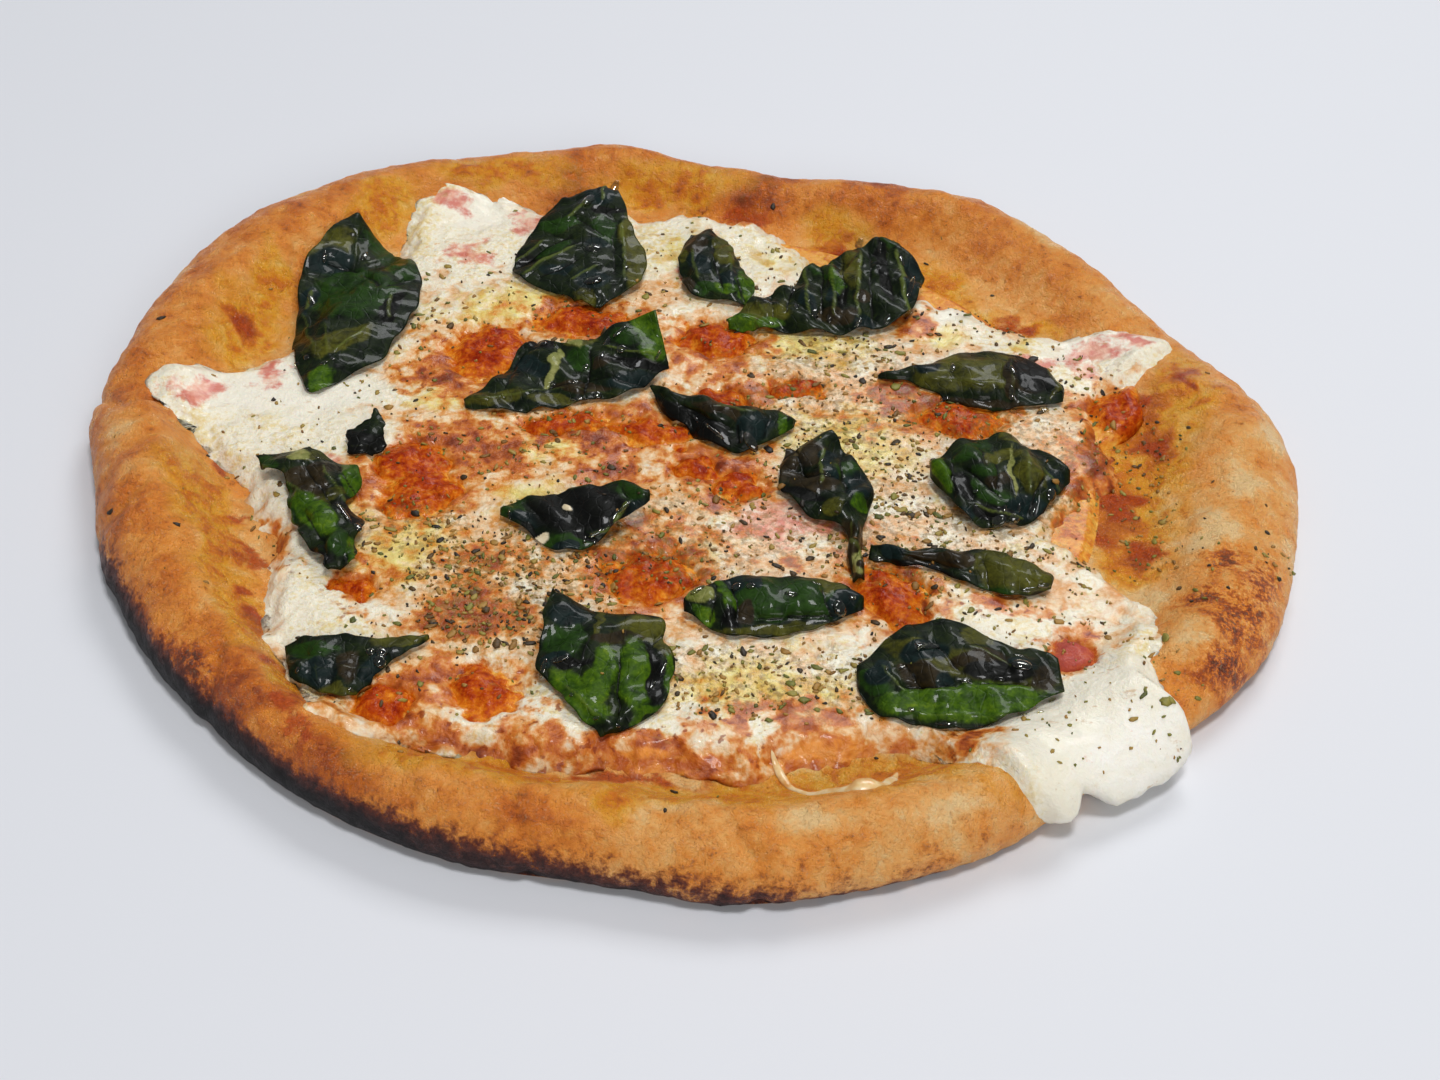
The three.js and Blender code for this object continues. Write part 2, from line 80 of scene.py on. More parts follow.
# %% [markdown]
# ## The form that all layers share
#
# Dough, sauce and cheese lie on each other, so they are worked out on one surface. A spot on it is
# given by its bearing round the pizza and by its travel: -1 at the middle, 0 at the foot of the
# rim, 1 at its crest, 2 where its outside meets the table. A pizza that is shaped by hand has no
# plain circle in it, so bell-shaped swells change its radius, its rim's width and its height.

# %% Sizes of the dough, in mm and degrees
RADIUS, FLOOR = 145, 4.6
RIM_WIDTH, RIM_HEIGHT, RIM_BELLY = 30, 15.5, 4.5
CREST_SHARE = 0.42  # share of the rim's width that lies outside its crest
UNDERCUT = 35  # degrees that the rim turns back under its belly
BLISTERS = [(0.8, 5.5, 1), (0.35, 2.7, 2)]  # height and size in mm, and phase
# bearing, how much is added there, and the reach of the bell to either side
OUTLINE_SWELLS = [
    (7, 9, 13), (55, 3, 6), (82, -10.5, 19), (102, 6.5, 8), (127, 6.5, 10), (148, 17.5, 22), (178, 8.5, 10),
    (198, 3.5, 9), (263, -4, 9), (277, 2, 8), (296, 2, 10), (312, -4, 9), (342, 9, 19),
]
WIDTH_SWELLS = [(0, 12, 26), (84, -7, 15), (146, 12, 22), (198, 7, 16), (232, -6, 14)]
HEIGHT_SWELLS = [
    (24, -5.5, 9), (84, -2.5, 15), (148, 2.5, 18), (176, -4, 4), (194, 3, 14), (300, 1.5, 8),
    (313, -10, 10), (352, -1.5, 18),
]


def turn_between(start, end):
    """The angle from one bearing to another, from -180 to 180 degrees."""
    return (end - start + 180) % 360 - 180


def swelled(swells, at):
    return sum(add * np.exp(-((turn_between(place, at) / span) ** 2)) for place, add, span in swells)


def wobble(at, count, phase):
    """Uneven waves round the pizza that meet themselves at 360 degrees."""
    a = np.radians(at)
    return (np.sin(count * a + phase) + 0.6 * np.sin((2 * count + 1) * a + 2 * phase)) / 1.6


def waves(x, y, size, phase):
    """Soft waves over a plane, from -1 to 1."""
    across = np.sin(x / size + 1.7 * np.sin(0.7 * y / size + phase))
    along = np.sin(1.3 * y / size + 1.3 * np.sin(0.9 * x / size - phase))
    return (across + along) / 2


def smooth(share):
    share = np.clip(share, 0, 1)
    return share * share * (3 - 2 * share)


def mix(a, b, share):
    return a + (b - a) * share


def outline(at):
    return RADIUS + swelled(OUTLINE_SWELLS, at) + 0.9 * wobble(at, 7, 1.1)


def rim_width(at):
    return RIM_WIDTH + swelled(WIDTH_SWELLS, at) + 1.5 * wobble(at, 5, 2.3)


def rim_height(at):
    return RIM_HEIGHT + swelled(HEIGHT_SWELLS, at) + 0.9 * wobble(at, 6, 0.4)


def blisters(x, y):
    return sum(height * waves(x, y, size, phase) for height, size, phase in BLISTERS)


print("radius every 90 degrees:", np.round(outline(np.arange(0, 360, 90.0))), "mm")


# %% Find a spot on the skin
def skin(travel, at, rise):
    """Spots over the dough: an array of x, y, z in mm, rise mm away from the dough's surface."""
    edge, width, height = outline(at), rim_width(at), rim_height(at)
    crest, foot = edge - CREST_SHARE * width, edge - width
    slope = np.clip(travel, 0, 1)
    tilt = np.radians(np.clip(travel - 1, 0, 1) * (90 + UNDERCUT))
    belly = np.minimum(RIM_BELLY, 0.6 * height)
    on_rim = mix(foot, crest, slope) + (edge - crest) * np.sin(tilt)
    reach = np.where(travel < 0, (travel + 1) * foot, on_rim)
    under = belly * (1 + np.cos(tilt) / math.sin(math.radians(UNDERCUT)))
    outside = np.where(np.cos(tilt) > 0, mix(belly, height, np.cos(tilt)), under)
    z = np.where(travel <= 1, mix(FLOOR, height, smooth(slope)), outside)
    along_x, along_y = np.cos(np.radians(at)), np.sin(np.radians(at))
    fade = np.where(travel <= 1, smooth(slope), 1 - np.minimum(1, tilt))
    z = z + blisters(reach * along_x, reach * along_y) * fade
    reach = reach + rise * np.sin(tilt)
    return np.stack([reach * along_x, reach * along_y, z + rise * np.cos(tilt)], axis=-1)


def path_lengths(at):
    """How long the way is from the middle to the foot, from there to the crest, and on to the base."""
    edge, width, height = outline(at), rim_width(at), rim_height(at)
    foot = edge - width
    slope = np.hypot((1 - CREST_SHARE) * width, height - FLOOR)
    outside = 1.25 * np.hypot(CREST_SHARE * width, height)
    return foot, slope, outside


def travel_after(length, at):
    """The travel of a spot after so many mm along the skin from the middle."""
    foot, slope, outside = path_lengths(at)
    up_slope = np.clip((length - foot) / slope, 0, 1)
    down_outside = np.clip((length - foot - slope) / outside, 0, 1)
    return np.minimum(length / foot, 1) - 1 + up_slope + down_outside


print("rim heights:", np.round(rim_height(np.arange(0, 360, 45.0)), 1))

# %% [markdown]
# ## From a flat grid to a round layer
#
# A round layer could be spun from a profile, but a spin has the same profile all round. Here a
# flat grid does the work: one side of it becomes the way from the middle outwards, and the other
# side goes once round the pizza. After every vertex is moved to its place, the two ends of the
# round are welded, and all the vertices that meet in the middle become one.


# %% Lay a grid round the pizza
def linked(name, mesh):
    piece = bpy.data.objects.new(name, mesh)
    scene.collection.objects.link(piece)
    mesh.shade_smooth()
    return piece


def coordinates(mesh):
    flat = np.empty(3 * len(mesh.vertices), np.float32)
    mesh.vertices.foreach_get("co", flat)
    return flat.reshape(-1, 3).astype(float)


def mark(mesh, name, values):
    """Keeps a number for each vertex, which a finish can read by name."""
    layer = mesh.attributes.get(name) or mesh.attributes.new(name, "FLOAT", "POINT")
    layer.data.foreach_set("value", np.asarray(values, np.float32))


def grid_mesh(name, columns, rows, place, weld=0.0):
    """A grid whose vertices are moved by place(across, along), both from 0 to 1, in mm."""
    bm = bmesh.new()
    bmesh.ops.create_grid(bm, x_segments=columns, y_segments=rows, size=0.5)
    mesh = bpy.data.meshes.new(name)
    bm.to_mesh(mesh)
    spots = coordinates(mesh)
    moved = place(spots[:, 0] + 0.5, spots[:, 1] + 0.5)
    mesh.vertices.foreach_set("co", moved.astype(np.float32).ravel())
    bm.clear()
    bm.from_mesh(mesh)
    if weld:
        bmesh.ops.remove_doubles(bm, verts=bm.verts, dist=weld)
        bmesh.ops.recalc_face_normals(bm, faces=bm.faces)
    bm.to_mesh(mesh)
    bm.free()
    return mesh


def settle(mesh):
    """Turns millimetres about the dough's middle into metres in the pizza's frame."""
    mesh.transform(Matrix.Scale(MM, 4) @ Matrix.Translation(MIDDLE))
    mesh.update()


def relief(mesh, heights):
    """Moves each vertex out along its normal, or in where the height is negative."""
    normals = np.empty(3 * len(mesh.vertices), np.float32)
    mesh.vertex_normals.foreach_get("vector", normals)
    moved = coordinates(mesh) + normals.reshape(-1, 3) * heights[:, None]
    mesh.vertices.foreach_set("co", moved.astype(np.float32).ravel())
    mesh.update()


def grain(spots, size, seed=0.0):
    """Smooth random heights from -1 to 1 whose lumps are about size mm across."""
    return np.array([noise.noise((x / size + seed, y / size, z / size)) for x, y, z in spots])


def share_of(places, x, y, soft=0.5):
    """How far inside any of the oval places a spot is: 1 inside, 0.5 at their edge, 0 well away.
    A place is its middle, its size along and across, and the turn of its long side."""
    most = np.zeros_like(x)
    for px, py, long, wide, turn in places:
        c, s = math.cos(math.radians(turn)), math.sin(math.radians(turn))
        along = ((x - px) * c + (y - py) * s) * 2 / long
        across = ((y - py) * c - (x - px) * s) * 2 / wide
        most = np.maximum(most, smooth((1 + soft - np.hypot(along, across)) / (2 * soft)))
    return most


def strayed(x, y, reach, size, seed=0.0):
    """Spots moved at random by up to reach mm, so that the edge of a round place turns ragged."""
    flat = np.stack([x, y, np.zeros_like(x)], axis=-1)
    small = 0.42 * size
    x = x + reach * grain(flat, size, 11.3 + seed) + 0.5 * reach * grain(flat, small, 5.9 + seed)
    y = y + reach * grain(flat, size, 31.7 + seed) + 0.5 * reach * grain(flat, small, 17.1 + seed)
    return x, y


print("2.5 mm inside the end of an oval:", share_of([(0, 0, 20, 10, 0)], np.array([7.5]), np.array([0.0])))

# %% [markdown]
# ## Paints made of nodes
#
# Every finish below is a small tree of nodes, so a few helpers keep the trees short to read. Sizes
# of noise are given in millimetres, because the eye judges grain by its size. Patterns read Object
# coordinates, which stay with the piece when it is moved or exported.


# %% Helpers for finishes
def colour(code):
    """A colour of the screen, such as "e0a050", as the linear numbers that nodes work with."""
    parts = [int(code[i : i + 2], 16) / 255 for i in (0, 2, 4)]
    return [p / 12.92 if p <= 0.04045 else ((p + 0.055) / 1.055) ** 2.4 for p in parts] + [1.0]


class Finish:
    """A material under construction. Each method adds a node and returns its output."""

    def __init__(self, name, **sockets):
        self.material = bpy.data.materials.new(name)
        self.material.use_nodes = True
        self.tree = self.material.node_tree
        self.shader = self.tree.nodes["Principled BSDF"]
        self.place = self.add("ShaderNodeTexCoord").outputs["Object"]
        for socket, value in sockets.items():
            self.shader.inputs[socket.replace("_", " ")].default_value = value

    def add(self, kind, **settings):
        node = self.tree.nodes.new(kind)
        for key, value in settings.items():
            setattr(node, key, value)
        return node

    def feed(self, socket, value):
        if isinstance(value, bpy.types.NodeSocket):
            self.tree.links.new(value, socket)
        else:
            socket.default_value = value

    def marked(self, name):
        return self.add("ShaderNodeAttribute", attribute_name=name).outputs["Fac"]

    def stretched(self, x, y, z):
        node = self.add("ShaderNodeMapping")
        node.inputs["Scale"].default_value = (x, y, z)
        self.feed(node.inputs["Vector"], self.place)
        return node.outputs["Vector"]

    def noise(self, size, detail, rough, vector=None, bend=0.0):
        node = self.add("ShaderNodeTexNoise")
        self.feed(node.inputs["Vector"], vector or self.place)
        node.inputs["Scale"].default_value = 1 / (size * MM)
        node.inputs["Detail"].default_value = detail
        node.inputs["Roughness"].default_value = rough
        node.inputs["Distortion"].default_value = bend
        return node.outputs["Fac"]

    def cells(self, size, feature="F1", vector=None):
        node = self.add("ShaderNodeTexVoronoi", feature=feature)
        self.feed(node.inputs["Vector"], vector or self.place)
        node.inputs["Scale"].default_value = 1 / (size * MM)
        return node.outputs["Distance"]

    def maths(self, operation, *values):
        node = self.add("ShaderNodeMath", operation=operation)
        for socket, value in zip(node.inputs, values):
            self.feed(socket, value)
        return node.outputs[0]

    def times(self, a, b):
        return self.maths("MULTIPLY", a, b)

    def plus(self, total, *more):
        """Adds values to a total. After each value comes how many times it counts."""
        for value, count in zip(more[::2], more[1::2]):
            total = self.maths("MULTIPLY_ADD", value, count, total)
        return total

    def step(self, value, low, high, start=0.0, end=1.0):
        """Goes smoothly from start to end while the value goes from low to high."""
        node = self.add("ShaderNodeMapRange", interpolation_type="SMOOTHSTEP")
        for socket, number in zip(node.inputs, (value, low, high, start, end)):
            self.feed(socket, number)
        return node.outputs["Result"]

    def ramp(self, value, stops):
        """Colours at stops, which may be any rising numbers; a node's own stops go from 0 to 1."""
        first, last = stops[0][0], stops[-1][0]
        spread = self.add("ShaderNodeMapRange")
        for socket, number in zip(spread.inputs, (value, first, last, 0.0, 1.0)):
            self.feed(socket, number)
        node = self.add("ShaderNodeValToRGB")
        elements = node.color_ramp.elements
        while len(elements) < len(stops):
            elements.new(0.5)
        for element, (place, code) in zip(elements, stops):
            element.position = (place - first) / (last - first)
            element.color = colour(code)
        self.feed(node.inputs["Fac"], spread.outputs["Result"])
        return node.outputs["Color"]

    def blend(self, share, a, b):
        node = self.add("ShaderNodeMix", data_type="RGBA")
        for socket, value in ((node.inputs[0], share), (node.inputs[6], a), (node.inputs[7], b)):
            self.feed(socket, colour(value) if isinstance(value, str) else value)
        return node.outputs[2]

    def bump(self, height, depth, under=None):
        """A relief of so many mm in the shading alone."""
        node = self.add("ShaderNodeBump")
        node.inputs["Distance"].default_value = depth * MM
        self.feed(node.inputs["Height"], height)
        if under:
            self.feed(node.inputs["Normal"], under)
        return node.outputs["Normal"]

    def wear(self, *pieces):
        for piece in pieces:
            piece.data.materials.clear()
            piece.data.materials.append(self.material)
        print(self.material.name, "is made of", len(self.tree.nodes), "nodes")

    def set(self, **inputs):
        for socket, value in inputs.items():
            self.feed(self.shader.inputs[socket.replace("_", " ")], value)


print("a mid grey in linear numbers:", [round(part, 3) for part in colour("808080")])

# %% [markdown]
# ## The dough
#
# The rim of a hand-stretched pizza puffs up in the oven. Its top browns first, its outer edge may
# char where it touches the tray, and the slope towards the toppings stays yellow, because oil runs
# down it. The dough is one closed piece: the grid runs from the middle over the rim and back along
# the underside to the middle again.

# %% Shape the dough
ROUND = 900  # steps round the pizza
FLOOR_STOPS = np.linspace(-1, -0.12, 9)
SLOPE_STOPS = np.linspace(-0.08, 1, 34)
OUTER_STOPS = np.linspace(1.03, 2, 34)
UNDER_STOPS = np.linspace(2.05, 3, 8)
DOUGH_STOPS = np.concatenate([FLOOR_STOPS, SLOPE_STOPS, OUTER_STOPS, UNDER_STOPS])


def dough_place(across, along):
    travel = np.interp(across, np.linspace(0, 1, len(DOUGH_STOPS)), DOUGH_STOPS)
    at = 360 * along
    top = skin(np.minimum(travel, 2), at, 0)
    under = (3 - travel)[:, None] * skin(np.full_like(at, 2), at, 0)
    under[:, 2] = 0
    spots = np.where(travel[:, None] > 2, under, top)
    spots[:, 2] = np.maximum(spots[:, 2], 0)
    return spots


dough_mesh = grid_mesh("dough", len(DOUGH_STOPS) - 1, ROUND, dough_place, weld=0.01)
dough = linked("dough", dough_mesh)
print("dough faces:", len(dough_mesh.polygons))

# %% [markdown]
# The puffed rim is never smooth. Gas bubbles lift it in domes as large as a thumbnail, and the
# skin between them is wrinkled. Both are real relief, moved along the normals, because they show
# in the outline. The relief fades out under the toppings and on the underside.

# %% Raise bubbles and wrinkles on the rim
# middle, size along and across, turn, and height in mm
BUBBLES = [
    (131, -27, 13, 8, 120, 0.9), (124, -40, 12, 9, 60, 0.8), (138, -12, 16, 10, 90, 0.9),
    (146, 8, 14, 8, 80, 0.7), (112, -52, 7, 12, 0, 1.0), (118, -66, 18, 13, 40, 1.0),
    (133, -50, 12, 9, 50, 0.7), (127, 0, 10, 14, 20, 0.6), (-134, -28, 10, 9, 0, 0.7),
    (-139, -8, 16, 8, 100, 0.5), (-128, 100, 20, 12, 50, 0.7), (-104, 118, 18, 10, 30, 0.6),
    (-146, 45, 20, 9, 85, 0.6), (-117, -62, 22, 10, 120, 0.7), (-100, -85, 16, 9, 130, 0.6),
    (-12, -127, 14, 18, 0, 0.9), (12, -130, 16, 14, 0, 0.7), (42, -128, 20, 12, 10, 0.9),
    (66, -120, 18, 10, 25, 0.7), (-45, -122, 20, 10, 165, 0.6), (-76, -106, 12, 8, 140, 0.6),
    (94, 98, 22, 10, 130, 0.8), (70, 112, 18, 9, 150, 0.7), (40, 122, 18, 9, 165, 0.6),
    (8, 128, 16, 8, 0, 0.6), (-30, 134, 16, 9, 10, 0.7), (-60, 128, 16, 9, 20, 0.6),
    (110, 80, 16, 9, 120, 0.7),
]
# bearing, reach of the bell and depth in mm of each crease across the rim
CREASES = [
    (177.5, 1.1, 1.6), (257, 0.8, 0.9), (276.5, 0.9, 1.2), (196, 1.2, 0.7), (12, 1.0, 0.6), (222, 1.0, 0.6),
]
WRINKLES = [(0.45, 7, 3.1), (0.3, 3.2, 9.7), (0.16, 1.7, 5.3)]  # height and size in mm, and seed


def dough_relief(spots):
    x, y, z = spots.T
    at, reach = np.degrees(np.arctan2(y, x)), np.hypot(x, y)
    foot = path_lengths(at)[0]
    on_rim = smooth((reach - foot) / 8 + 0.2) * (z > 0.05)
    above_foot = smooth((reach - foot) / 12 - 0.3)
    bent = at + 1.6 * np.sin(reach / 4)
    heights = sum(height * grain(spots, size, seed) for height, size, seed in WRINKLES)
    for *place, lift in BUBBLES:
        heights += lift * share_of([place], x, y, soft=0.8)
    for place, span, depth in CREASES:
        heights -= depth * np.exp(-((turn_between(place, bent) / span) ** 2)) * above_foot
    return heights * on_rim


flat_spots = coordinates(dough_mesh)
relief(dough_mesh, dough_relief(flat_spots))
print("dough height:", round(float(coordinates(dough_mesh)[:, 2].max()), 1), "mm")

# %% [markdown]
# A crust has no single brown. Flour keeps some blisters pale, heat browns the tops, and oil stains
# the slope amber. Painted light makes the front-right rim paler and painted shade makes the
# front-left rim darker; more painted shade darkens the bottom of the rim, where it meets the table,
# besides its char. Those broad differences are numbers on the vertices, worked out from named
# places. The nodes then add the mottling and the grain, which are too fine for the mesh.

# %% Mark where the dough is brown, pale, oily and charred, and where light and shade are painted
# bearing, how much browner, and the reach of the bell; the paler front-right rim near 292 degrees
# is painted light, and the darker front-left rim near 230 degrees painted shade
BAKE_AND_LIGHT_SWELLS = [
    (0, -0.1, 28), (40, -0.02, 20), (80, 0.12, 22), (120, 0.05, 14), (160, 0.04, 22), (200, 0.02, 20),
    (230, 0.08, 14), (292, -0.15, 18), (262, -0.06, 14), (345, -0.1, 14),
]
# middle, size along and across, and turn, for each kind of place
TOASTED = [
    (-40, 122, 8, 14, 0), (12, 116, 20, 8, 0), (50, 124, 16, 10, 160), (68, -110, 16, 7, 20),
    (30, -122, 14, 7, 0), (-96, -98, 22, 14, 135), (-74, -118, 24, 10, 150), (-100, -104, 18, 8, 135),
    (-30, -134, 24, 7, 172), (-126, -76, 18, 9, 120), (-150, -12, 16, 6, 100), (-30, -118, 18, 7, 175),
    (100, 66, 12, 6, 150),
]
CRACKLED = [
    (132, -62, 22, 14, 55), (138, -49, 18, 10, 70), (126, -75, 14, 10, 30), (131, -41, 12, 8, 60),
    (123, -55, 10, 7, 20), (-110, -92, 20, 7, 130),
]
FLOURY = [
    (131, -27, 14, 8, 120), (140, -12, 12, 8, 90), (126, -34, 12, 7, 60), (120, -70, 14, 8, 30),
    (98, 98, 18, 8, 130), (-132, -30, 12, 9, 0), (-141, -12, 12, 8, 100), (-106, -70, 14, 8, 130),
    (-4, -125, 10, 14, 0), (150, 10, 12, 6, 90), (-120, 104, 18, 8, 40), (-145, 60, 16, 7, 80),
    (112, -50, 8, 12, 0), (60, -126, 16, 6, 25), (30, -132, 16, 5, 10),
]
AMBER = [
    (110, -10, 24, 50, 0), (122, 16, 20, 30, 0), (108, -34, 14, 20, 0), (80, 64, 28, 16, 140),
    (42, 94, 26, 16, 160), (-122, 46, 20, 18, 90), (-118, 60, 10, 26, 10), (-125, 34, 12, 10, 90),
    (-112, -46, 14, 34, 20), (-120, -30, 12, 30, 25), (-98, -74, 12, 26, 30), (-88, -90, 10, 14, 30),
    (130, 30, 14, 34, 0), (120, 4, 14, 26, 0), (112, -18, 12, 26, 10), (40, 104, 22, 12, 160),
    (66, 84, 16, 26, 40), (-10, 124, 40, 12, 0), (-60, 120, 40, 10, 10), (92, 66, 20, 9, 150),
    (45, -112, 54, 18, 10), (72, -108, 20, 20, 20), (-40, -116, 60, 16, 172), (8, -121, 44, 15, 0),
    (-10, -126, 10, 18, 0), (-92, 100, 14, 24, 150),
]
RED_STAINS = [
    (108, -12, 8, 16, 0), (113, -30, 8, 10, 30), (121, 10, 8, 12, 0), (104, -24, 6, 10, 0),
    (84, 60, 10, 6, 140), (118, 30, 6, 14, 20), (-124, 44, 9, 7, 0), (-112, -32, 6, 5, 0),
    (-103, -62, 6, 5, 40), (-97, -70, 6, 4, 40), (-93, -88, 5, 4, 0), (-120, -15, 7, 4, 150),
    (-80, -112, 10, 10, 40), (132, 33, 3, 10, 0), (38, 95, 10, 16, 0), (90, 67, 12, 8, 150),
    (12, 112, 18, 6, 0), (-8, -113, 30, 4, 178), (-104, -46, 7, 12, 20), (-84, -104, 12, 7, 140),
    (113, -8, 6, 6, 0),
]
# bearing, how black, and the reach of the bell
CHAR_SWELLS = [
    (206, 0.65, 10), (222, 1.15, 14), (242, 0.85, 12), (260, 0.5, 10), (276, 0.4, 10), (294, 0.12, 8),
]

x, y, z = flat_spots.T
at, reach = np.degrees(np.arctan2(y, x)) % 360, np.hypot(x, y)
edge, width, height = outline(at), rim_width(at), rim_height(at)
low = np.where(reach > edge - 0.6 * CREST_SHARE * width, np.clip(1 - z / height, 0, 1), 0)
# browning by bearing is partly painted light and shade: paler front-right rim, darker front-left rim
browning_and_light = 0.46 + swelled(BAKE_AND_LIGHT_SWELLS, at) + 0.1 * smooth(z / height)
browning_and_light += 0.12 * grain(flat_spots, 16, 2.2)
browning_and_light += 0.09 * grain(flat_spots, 6, 7.7) + 0.18 * share_of(TOASTED + CRACKLED, x, y, 0.9)
browning_and_light -= 0.25 * share_of(FLOURY, x, y, 0.7) + 0.08 * (1 - smooth((reach - edge + width) / 9))
mark(dough_mesh, "bake_and_light", browning_and_light)
mark(dough_mesh, "crackled", share_of(CRACKLED, *strayed(x, y, 3, 6), 0.8))
bent_x, bent_y = strayed(x, y, 4.5, 9)
mark(dough_mesh, "amber", share_of(AMBER, bent_x, bent_y, 0.9))
mark(dough_mesh, "red", share_of(RED_STAINS, bent_x, bent_y, 0.9))
# char on the front-left rim, and painted shade all round the bottom of the rim, next to the table
charred_and_shaded = swelled(CHAR_SWELLS, at) * smooth((low - 0.1) / 0.65) * (z > 0.01)
charred_and_shaded += 0.35 * smooth((low - 0.75) / 0.3)
mark(dough_mesh, "char_and_shade", charred_and_shaded)
print("charred share:", round(float((charred_and_shaded > 0.5).mean()), 3))


# %% Paint the dough
def dough_finish():
    f = Finish("baked_dough", Specular_IOR_Level=0.4, Subsurface_Weight=0.05, Subsurface_Scale=0.002)
    f.shader.inputs["Subsurface Radius"].default_value = (1.0, 0.5, 0.2)
    broad, middle = f.noise(12, 3, 0.6, bend=0.4), f.noise(3.4, 5, 0.62, bend=0.3)
    fine, grit = f.noise(1.0, 5, 0.7), f.noise(0.45, 2, 0.5)
    baked_and_lit, char_and_shade, oil, red = f.marked("bake_and_light"), f.marked("char_and_shade"), f.marked("amber"), f.marked("red")

    # from pale cream through gold to dark brown, with torn dark patches where the skin crackled;
    # the bake mark also carries painted light and shade on the front rims
    tone = f.plus(baked_and_lit, broad, 0.6, middle, 0.7, fine, 0.45, char_and_shade, 0.3)
    crackles = f.step(f.plus(fine, middle, 0.8), 0.74, 1.05, -0.12, 0.34)
    tone = f.plus(f.maths("SUBTRACT", tone, 1.0), f.times(f.marked("crackled"), crackles), 1.0)
    pale = [(0.0, "ffd494"), (0.2, "ffba68"), (0.4, "f69a3a")]
    look = f.ramp(tone, pale + [(0.58, "dc761c"), (0.76, "a8480e"), (1.0, "582006")])

    # a dust of flour, and dark specks
    flour = f.times(f.step(f.plus(fine, grit, 0.4), 0.74, 0.9), f.step(broad, 0.35, 0.6, 0.05, 0.3))
    look = f.blend(flour, look, "f6d6a4")
    specks = f.times(f.step(f.cells(2.3), 0.16, 0.07), f.step(middle, 0.48, 0.62, 0.0, 0.6))
    look = f.blend(specks, look, "7a3410")

    # oil on the slope, and red juice of tomatoes
    oily = f.step(f.plus(oil, broad, 0.8, middle, 0.8), 0.95, 1.6)
    depth = f.plus(f.times(oil, 0.4), middle, 1.0, broad, 0.6, red, 0.5)
    light = [(0.8, "fbcf5e"), (1.05, "f3a826"), (1.25, "df7a10")]
    look = f.blend(f.times(oily, 0.92), look, f.ramp(depth, light + [(1.55, "a84206"), (1.8, "782204")]))
    stained = f.step(f.plus(red, middle, 1.2, fine, 0.6), 1.3, 1.8, 0.0, 0.85)
    look = f.blend(stained, look, f.ramp(fine, [(0.35, "9c2a04"), (0.65, "d85c0c")]))

    # char along the lower edge, and painted shade where the rim meets the table
    singed_and_shaded = f.plus(char_and_shade, middle, 1.0, broad, 0.5, fine, 0.5)
    brown = [(1.15, "a8541c"), (1.4, "6c2a12"), (1.6, "3a1814")]
    black = [(1.8, "1e0e12"), (2.05, "0a0608")]
    look = f.blend(f.step(singed_and_shaded, 1.12, 1.45), look, f.ramp(singed_and_shaded, brown + black))

    rough = f.maths("SUBTRACT", f.step(middle, 0.3, 0.7, 0.24, 0.44), f.times(oily, 0.1))
    rough = f.plus(rough, f.step(singed_and_shaded, 1.4, 1.7), 0.25)
    coarse = f.bump(f.plus(middle, broad, 0.5), 1.8)
    f.set(Base_Color=look, Roughness=rough, Normal=f.bump(f.plus(fine, grit, 0.5), 1.0, coarse))
    return f


dough_finish().wear(dough)
settle(dough_mesh)
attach(dough, "root")
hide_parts("crust")

# %% [markdown]
# ## Sauce and melted cheese
#
# The sauce is a wet film that the cheese covers almost all over. Where a lump of tomato stands up,
# the cheese thins out and the lump comes through, stained orange all round by its juice. Both
# layers therefore read the same marks and share one finish for the lumps, with their own colours
# under it, so that no line shows between them.

# %% Sizes of the sauce and the cheese, in mm
GAP, SAUCE_THICK, SAUCE_MARGIN = 0.4, 1.3, -3.5
CHEESE_RADIUS, CHEESE_THICK = 114, 2.3
SAUCE_SWELLS = [(11, 12, 5)]
SPILL_AT, SPILL_SPAN, SPILL_REACH, SPILL_THICK = 312, 11, 43, 6
SPILL_POWER = 4  # a bell has 2; with more the spill keeps its reach and ends at once
SPILL_DROP, DROP_MOST = 0.55, 0.96  # how far down the outside it runs between its lobes, and at most
SPILL_LOBES = [(305.6, 0.42, 1.8), (311.5, 0.38, 2.4), (317.5, 0.45, 4.6)]  # how much further each runs
POURED = [(316, 0.8, 8.5)]  # share of the spill's full thickness
CHEESE_SWELLS = [
    (6, -3.5, 22), (22, 28, 7), (56, -18.5, 19), (68, -10, 6), (125, 21.5, 11), (175, 27, 9),
    (203, -5.5, 12), (230, 13, 19), (235, 6, 5), (266, -1.5, 12), (305, 4, 3), (326, 7, 4), (333, 26, 8),
    (341, -19, 11),
]
